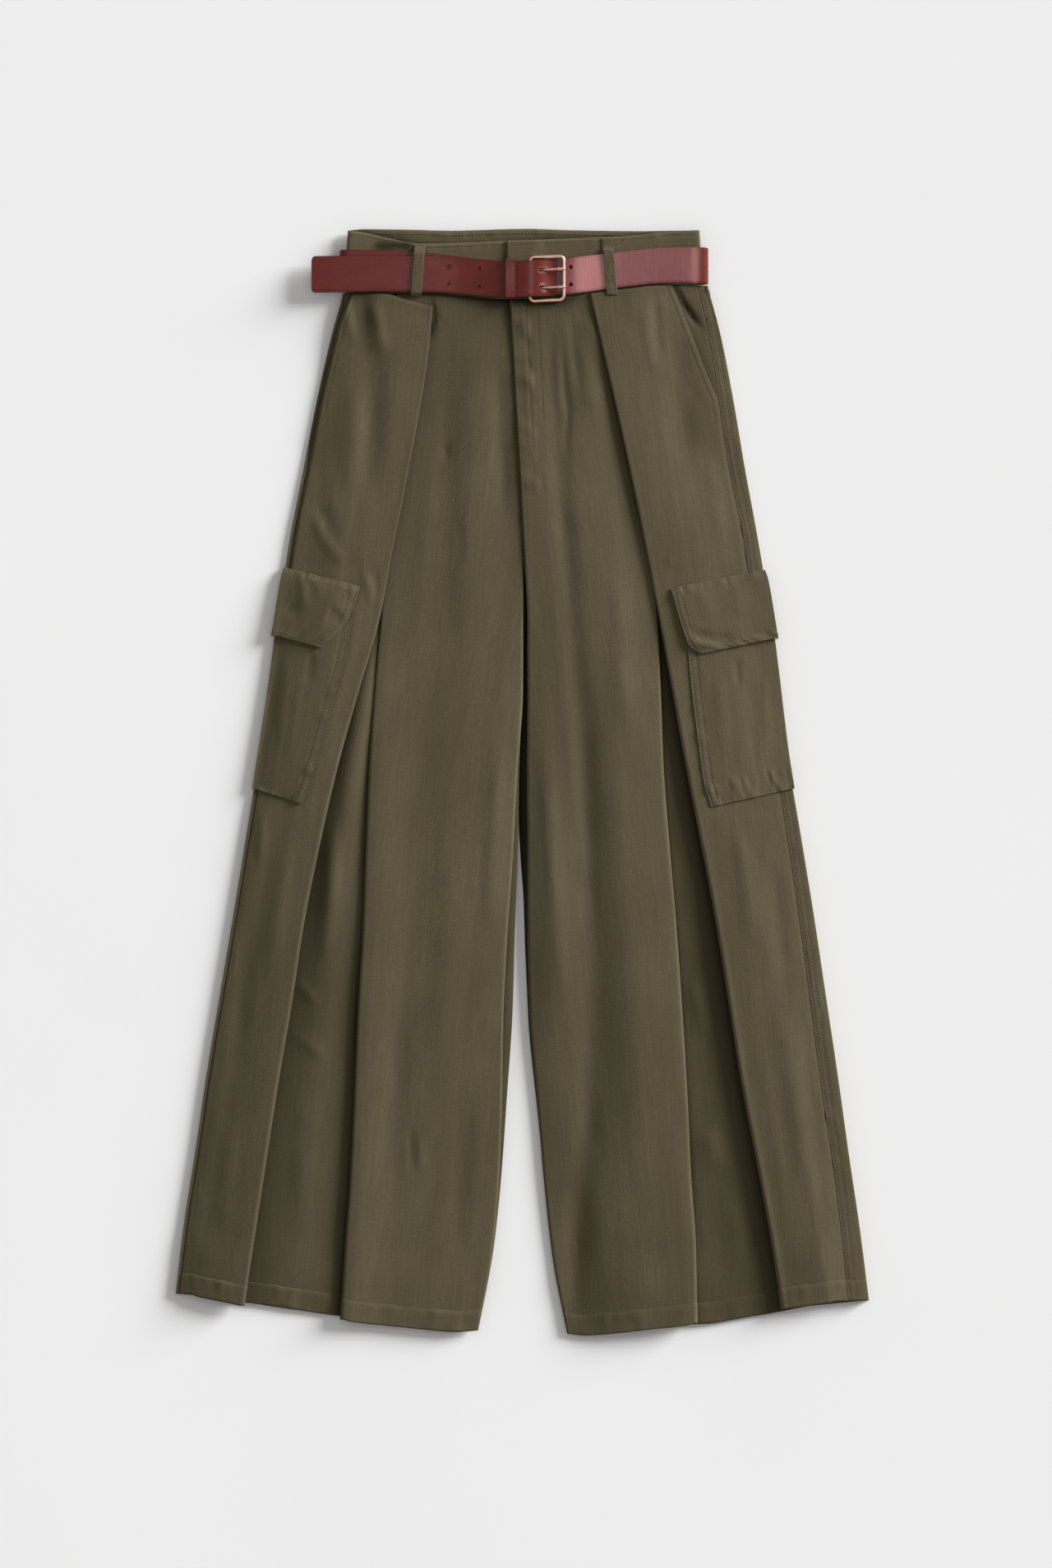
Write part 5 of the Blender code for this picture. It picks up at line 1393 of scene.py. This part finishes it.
def belt():
    points = smooth_path([row[1:] for row in BELT_ROUTE], STRAP_STEP)
    tip = points[-1].copy()
    points = points[np.linalg.norm(points - tip, axis=1) > TIP_CORNER + 0.2]
    ends = [mix(points[-1], tip, t) for t in np.linspace(0, 1, 9)[1:]]
    points = np.vstack([points, ends])
    inside = np.maximum(TIP_CORNER - np.linalg.norm(points - tip, axis=1), 0) / TIP_CORNER
    halves = BELT_WIDTH / 2 - TIP_CORNER * (1 - np.sqrt(np.maximum(1 - inside ** 2, 0)))
    strap = sweep("belt", points, (0, 1, 0), halves, LEATHER, 0.7)
    upper = points[len(points) // 2:]
    upper = upper[np.argsort(upper[:, 0])]
    cutters = []
    for x in HOLES_X:
        y, z = (float(np.interp(x, upper[:, 0], upper[:, k])) for k in (1, 2))
        cutters += [cutter_cylinder(x, y + side * HOLE_ROWS / 2, z, HOLE_RADIUS, LEATHER + 0.5)
                    for side in (-1, 1)]
    cutters += prong_slots(STRAP_SLOT_X, STRAP_SLOT_Z)
    drill(strap, cutters)


def belt_fold():
    """The strap's end, wrapped round the buckle's hinge bar."""
    radius = WIRE + GAP + FOLD_LEATHER / 2
    half = FRAME_HALF_HEIGHT - FRAME_CORNER - GAP
    centres = [(HINGE_X + radius * math.cos(a), buckle_y(HINGE_X), HINGE_Z - radius * math.sin(a))
               for a in np.linspace(0, 2 * math.pi, 40, endpoint=False)]
    fold = sweep("belt_fold", centres, (0, 1, 0), [half] * len(centres), FOLD_LEATHER, 0.4,
                 closed=True)
    drill(fold, prong_slots(FOLD_SLOT_X, FOLD_SLOT_Z))


def keeper():
    """The leather ring that holds the belt's two stretches together."""
    x = sum(KEEPER["x"]) / 2
    half = (KEEPER["x"][1] - KEEPER["x"][0]) / 2
    centres = []
    for y_end, z_end, start in ((1, 0, -90), (1, 1, 0), (0, 1, 90), (0, 0, 180)):
        y = KEEPER["y"][y_end] + KEEPER_CORNER * (1 - 2 * y_end)
        z = KEEPER["z"][z_end] + KEEPER_CORNER * (1 - 2 * z_end)
        for turn in np.linspace(0, 90, 8):
            angle = math.radians(start + turn)
            centres.append((x, y + KEEPER_CORNER * math.cos(angle),
                            z + KEEPER_CORNER * math.sin(angle)))
    sweep("belt_keeper", centres, (1, 0, 0), [half] * len(centres), KEEPER_WALL, 0.35,
          closed=True)


def tube(name, path, radii, closed=False, flat=1.0):
    """A round wire of changing radius along a path, with rounded ends."""
    path, sides = np.array(path, float), 16
    if not closed:
        first, last = path[0] - path[1], path[-1] - path[-2]
        first, last = first / np.linalg.norm(first), last / np.linalg.norm(last)
        caps = ((0.98, 0.2), (0.85, 0.55), (0.5, 0.87))
        start = [(path[0] + first * radii[0] * a, radii[0] * b) for a, b in caps]
        end = [(path[-1] + last * radii[-1] * a, radii[-1] * b) for a, b in caps[::-1]]
        radii = [r for _, r in start] + list(radii) + [r for _, r in end]
        path = np.vstack([[p for p, _ in start], path, [p for p, _ in end]])
    points = []
    for centre, way, radius in zip(path, tangents(path, closed), radii):
        side = np.cross(way, (0, 0, 1.0))
        side /= np.linalg.norm(side)
        up = np.cross(side, way)
        for k in range(sides):
            angle = 2 * math.pi * k / sides
            points.append(centre + radius * (side * math.cos(angle) + flat * up * math.sin(angle)))
    mesh = mesh_of(name, points, ring_faces(len(path), sides, closed))
    mesh.shade_smooth()
    return place(name, mesh, "rose_gold", [name])


def buckle():
    path = []
    corners = ((OUTER_X, 1), (HINGE_X, 1), (HINGE_X, -1), (OUTER_X, -1))
    for n, (corner_x, side) in enumerate(corners):
        inward = -1 if corner_x == OUTER_X else 1
        centre_x = corner_x + inward * FRAME_CORNER
        centre_y = side * (FRAME_HALF_HEIGHT - FRAME_CORNER)
        for angle in math.pi / 2 * (n + np.linspace(0, 1, 12)):
            x = centre_x + FRAME_CORNER * math.cos(angle)
            y = centre_y + FRAME_CORNER * math.sin(angle)
            z = mix(HINGE_Z, OUTER_Z, (x - HINGE_X) / (OUTER_X - HINGE_X))
            path.append((x, buckle_y(x) + y, z))
    tube("buckle_frame", path, [WIRE + PLATED] * len(path), closed=True)
    route = smooth_path(PRONG_ROUTE, 0.6)
    for name, side in (("buckle_prong_upper", 1), ("buckle_prong_lower", -1)):
        path = [(x, buckle_y(x) + side * PRONG_APART, z) for x, z, _ in route]
        tube(name, path, [PRONG * row[2] for row in route], flat=0.9)


# ---- materials -----------------------------------------------------------------------
class Nodes:
    """A short way to write a material's nodes."""

    def __init__(self, name):
        self.material = bpy.data.materials.new(name)
        self.material.use_nodes = True
        self.tree = self.material.node_tree
        self.shader = self.tree.nodes["Principled BSDF"]
        MATERIALS[name] = self.material

    def add(self, kind, inputs=None, **settings):
        node = self.tree.nodes.new(kind)
        for key, value in settings.items():
            setattr(node, key, value)
        for key, value in (inputs or {}).items():
            self.join(node.inputs[key], value)
        return node

    def join(self, socket, value):
        if isinstance(value, bpy.types.NodeSocket):
            self.tree.links.new(value, socket)
        else:
            socket.default_value = value

    def read(self, name, output="Fac"):
        """What the mesh keeps for each point under a name."""
        return self.add("ShaderNodeAttribute", attribute_name=name).outputs[output]

    def on_object(self):
        return self.add("ShaderNodeTexCoord").outputs["Object"]

    def math(self, operation, *values):
        return self.add("ShaderNodeMath", dict(enumerate(values)), operation=operation).outputs[0]

    def total(self, *terms):
        """The sum of values, each times its weight."""
        whole, *rest = (self.math("MULTIPLY", *term) for term in terms)
        for part in rest:
            whole = self.math("ADD", whole, part)
        return whole

    def mapped(self, source, scale, turn=0.0):
        inputs = {"Vector": source, "Scale": scale, "Rotation": (0, 0, turn)}
        return self.add("ShaderNodeMapping", inputs).outputs[0]

    def noise(self, source, scale, detail=2.0, rough=0.5):
        inputs = {"Vector": self.mapped(source, scale), "Scale": 1.0, "Detail": detail,
                  "Roughness": rough}
        return self.add("ShaderNodeTexNoise", inputs).outputs[0]

    def blend(self, share, low, high):
        """A colour between two, given as names or as other nodes' colours."""
        low, high = (colour(tint) if isinstance(tint, str) else tint for tint in (low, high))
        inputs = {0: share, 6: low, 7: high}
        return self.add("ShaderNodeMix", inputs, data_type="RGBA").outputs[2]

    def spread(self, value, low, high, to_low=0.0, to_high=1.0):
        node = self.add("ShaderNodeMapRange", {0: value, 1: low, 2: high, 3: to_low, 4: to_high})
        return node.outputs[0]

    def bump(self, height, distance, strength, below=None):
        inputs = {"Height": height, "Distance": distance, "Strength": strength}
        if below is not None:
            inputs["Normal"] = below
        return self.add("ShaderNodeBump", inputs).outputs[0]

    def finish(self, colour, roughness, normal, **constants):
        self.join(self.shader.inputs["Base Color"], colour)
        self.join(self.shader.inputs["Roughness"], roughness)
        self.join(self.shader.inputs["Normal"], normal)
        for name, value in constants.items():
            self.shader.inputs[name.replace("_", " ")].default_value = value


def colour(name):
    return (*COLOURS[name], 1.0)


def twill():
    """Washed cotton twill: a fine diagonal weave, slubs down the cloth, and worn edges."""
    n = Nodes("twill")
    weave = n.read("weave", "Vector")
    wale = n.add("ShaderNodeTexWave", {"Vector": n.mapped(weave, (1, 1, 1), WALE_TURN),
                                       "Scale": 0.36, "Distortion": 0.8, "Detail": 1.0,
                                       "Detail Scale": 3.0}, bands_direction="X").outputs["Fac"]
    slub = n.noise(weave, (0.55, 0.03, 1), 3.0, 0.65)
    streak = n.noise(weave, (0.10, 0.005, 1), 3.0, 0.6)
    cloud = n.noise(weave, (0.014, 0.008, 1), 3.0)
    grain = n.noise(weave, (0.9, 0.8, 1), 3.0, 0.75)
    fleck = n.noise(weave, (0.12, 0.9, 1), 2.0, 0.6)
    grainy, ribbed = (n.math("SUBTRACT", value, 0.5) for value in (grain, wale))
    tone = n.total((slub, 0.28), (streak, 0.20), (cloud, 0.30), (fleck, 0.22), (grainy, 0.45),
                   (ribbed, 0.12))
    base = n.blend(n.spread(tone, 0.30, 0.64), "twill_dark", "twill")
    base = n.blend(n.spread(tone, 0.50, 0.85, 0.0, 0.5), base, "twill_worn")
    patchy = n.math("MULTIPLY", n.read("worn"), n.spread(grain, 0.3, 0.7, 0.35, 1.0))
    base = n.blend(n.math("MULTIPLY", patchy, WORN_SHARE), base, "twill_worn")
    # Painted shade where the mesh's shade says, and painted shade growing towards the hem.
    base = n.blend(n.math("MULTIPLY", n.read("shade"), DEEP_SHARE), base, "twill_painted_shade")
    down = n.add("ShaderNodeSeparateXYZ", {"Vector": weave}).outputs["Y"]
    base = n.blend(n.spread(down, *HEM_DARK_FROM, 0.0, HEM_DARK), base, "twill_painted_shade")
    normal = n.bump(wale, 0.00012, 0.6)
    normal = n.bump(grain, 0.00030, 0.8, normal)
    normal = n.bump(slub, 0.00022, 0.8, normal)
    n.finish(base, n.spread(slub, 0.2, 0.8, 0.86, 0.97), normal, Sheen_Weight=0.05,
             Sheen_Roughness=0.5, Sheen_Tint=(0.8, 0.75, 0.55, 1.0), Specular_IOR_Level=0.15)


def thread():
    n = Nodes("thread")
    twist = n.noise(n.on_object(), (2500, 2500, 2500), 1.0)
    base = n.blend(n.spread(twist, 0.3, 0.7), "twill_dark", "thread")
    n.finish(base, n.spread(twist, 0.3, 0.7, 0.6, 0.8), n.bump(twist, 0.0001, 0.5),
             Sheen_Weight=0.1)


def leather():
    """Smooth dark red leather with a fine grain, cloudy dye, painted edges and a painted sheen."""
    n = Nodes("leather")
    weave = n.read("weave", "Vector")
    pebble = n.add("ShaderNodeTexVoronoi", {"Vector": n.mapped(weave, (1, 1, 1)), "Scale": 1.6},
                   feature="F1").outputs["Distance"]
    cloud = n.noise(weave, (0.06, 0.03, 1), 4.0, 0.6)
    fine = n.noise(weave, (0.9, 0.8, 1), 3.0, 0.6)
    tone = n.total((cloud, 0.6), (fine, 0.4))
    base = n.blend(n.spread(tone, 0.32, 0.62), "leather_dark", "leather")
    # Painted sheen: paler leather painted where light glances off the strap.
    streak = n.noise(weave, (0.03, 0.7, 1), 2.0)
    painted_sheen = n.math("MULTIPLY", n.read("painted_sheen"), n.spread(streak, 0.3, 0.7, 0.75, 1.1))
    base = n.blend(painted_sheen, base, "leather_painted_sheen")
    base = n.blend(n.math("MULTIPLY", n.read("worn"), EDGE_PAINT_SHARE), base, "edge_paint")
    normal = n.bump(pebble, 0.00006, 0.4)
    normal = n.bump(cloud, 0.0006, 0.35, normal)
    n.finish(base, n.spread(fine, 0.25, 0.75, 0.20, 0.27), normal, Specular_IOR_Level=0.26)


def rose_gold():
    n = Nodes("rose_gold")
    scuff = n.noise(n.on_object(), (300, 120, 300), 2.0)
    cloud = n.noise(n.on_object(), (60, 60, 60), 2.0)
    base = n.blend(n.spread(cloud, 0.3, 0.7, 0.0, 0.4), "rose_gold", "copper")
    n.finish(base, n.spread(scuff, 0.3, 0.7, 0.26, 0.34), n.bump(scuff, 0.000004, 0.2),
             Metallic=1.0)


def floor_paint():
    n = Nodes("floor")
    tint = n.noise(n.on_object(), (3, 3, 3), 2.0)
    base = n.blend(n.spread(tint, 0.3, 0.7), "floor", "floor_light")
    n.finish(base, 0.9, n.bump(tint, 0.0001, 0.1), Specular_IOR_Level=0.2)


# ---- room ----------------------------------------------------------------------------
PHOTO = (1280, 1908)
PHOTO_SCALE = 0.82     # millimetres of the surface in a pixel of the photograph
PHOTO_CENTRE = (3.7, -2.9)
CAMERA_HEIGHT = 9000.0
SENSOR_WIDTH = 36.0
VIEW_DEPTH = 20.0      # metres
FLOOR_HALF, FLOOR_DROP = 6000.0, 0.05
# The key light is far away and low on the right, so that it falls evenly on the garment and
# every fold shades the cloth on its left.  The panel overhead is what the leather mirrors.
KEY_ELEVATION, KEY_TURN, KEY_ANGLE = 17.0, 28.0, 26.0     # degrees
KEY_STRENGTH, KEY_DISTANCE = 6.05, 4.0
PANEL = {"location": (190, 690, 3000), "size": 280, "watts": 3.0}
WORLD = (1.0, 0.985, 0.97)
WORLD_STRENGTH = 0.39


def aim(scene, light, location):
    """Put a light somewhere, pointed at the middle of the garment."""
    made = bpy.data.objects.new(light.name, light)
    made.location = location
    made.rotation_mode = "QUATERNION"
    made.rotation_quaternion = (-location).to_track_quat("-Z", "Y")
    scene.collection.objects.link(made)


def room():
    scene = bpy.context.scene
    scene.view_settings.view_transform = "Standard"
    corners = [(a * FLOOR_HALF, b * FLOOR_HALF, -FLOOR_DROP)
               for a, b in ((-1, -1), (1, -1), (1, 1), (-1, 1))]
    mesh = mesh_of("floor", corners, [(0, 1, 2, 3)])
    floor = bpy.data.objects.new("floor", mesh)
    mesh.materials.append(MATERIALS["floor"])
    scene.collection.objects.link(floor)
    key = bpy.data.lights.new("key", "SUN")
    key.energy, key.angle = KEY_STRENGTH, math.radians(KEY_ANGLE)
    elevation, turn = math.radians(KEY_ELEVATION), math.radians(KEY_TURN)
    towards = (math.cos(elevation) * math.cos(turn), math.cos(elevation) * math.sin(turn),
               math.sin(elevation))
    aim(scene, key, Vector(towards) * KEY_DISTANCE)
    panel = bpy.data.lights.new("panel", "AREA")
    panel.size, panel.energy = PANEL["size"] * MM, PANEL["watts"]
    aim(scene, panel, Vector(PANEL["location"]) * MM)
    world = bpy.data.worlds.new("studio")
    world.use_nodes = True
    background = world.node_tree.nodes["Background"].inputs
    background["Color"].default_value = (*WORLD, 1.0)
    background["Strength"].default_value = WORLD_STRENGTH
    scene.world = world
    camera = bpy.data.cameras.new("camera")
    camera.sensor_width = SENSOR_WIDTH
    camera.lens = camera.sensor_width * CAMERA_HEIGHT / (PHOTO[1] * PHOTO_SCALE)
    camera.clip_end = VIEW_DEPTH
    made = bpy.data.objects.new("camera", camera)
    made.location = (PHOTO_CENTRE[0] * MM, PHOTO_CENTRE[1] * MM, CAMERA_HEIGHT * MM)
    scene.collection.objects.link(made)
    scene.camera = made


# ---- everything ----------------------------------------------------------------------
for make in (twill, thread, leather, rose_gold, floor_paint):
    make()
room()
for leg in (LEFT, RIGHT):
    front_leg(leg)
    back_leg(leg)
    facing(leg)
    cargo_pocket(leg)
    cargo_flap(leg)
waistband()
belt_loop("belt_loop_front_left", LOOP_LEFT["path"], LOOP_LEFT["x"])
belt_loop("belt_loop_front_right", LOOP_RIGHT["path"], LOOP_RIGHT["x"])
for name, x in LOOP_BACK_X.items():
    belt_loop("belt_loop_back_" + name, LOOP_BACK, (x, x))
belt()
belt_fold()
keeper()
buckle()
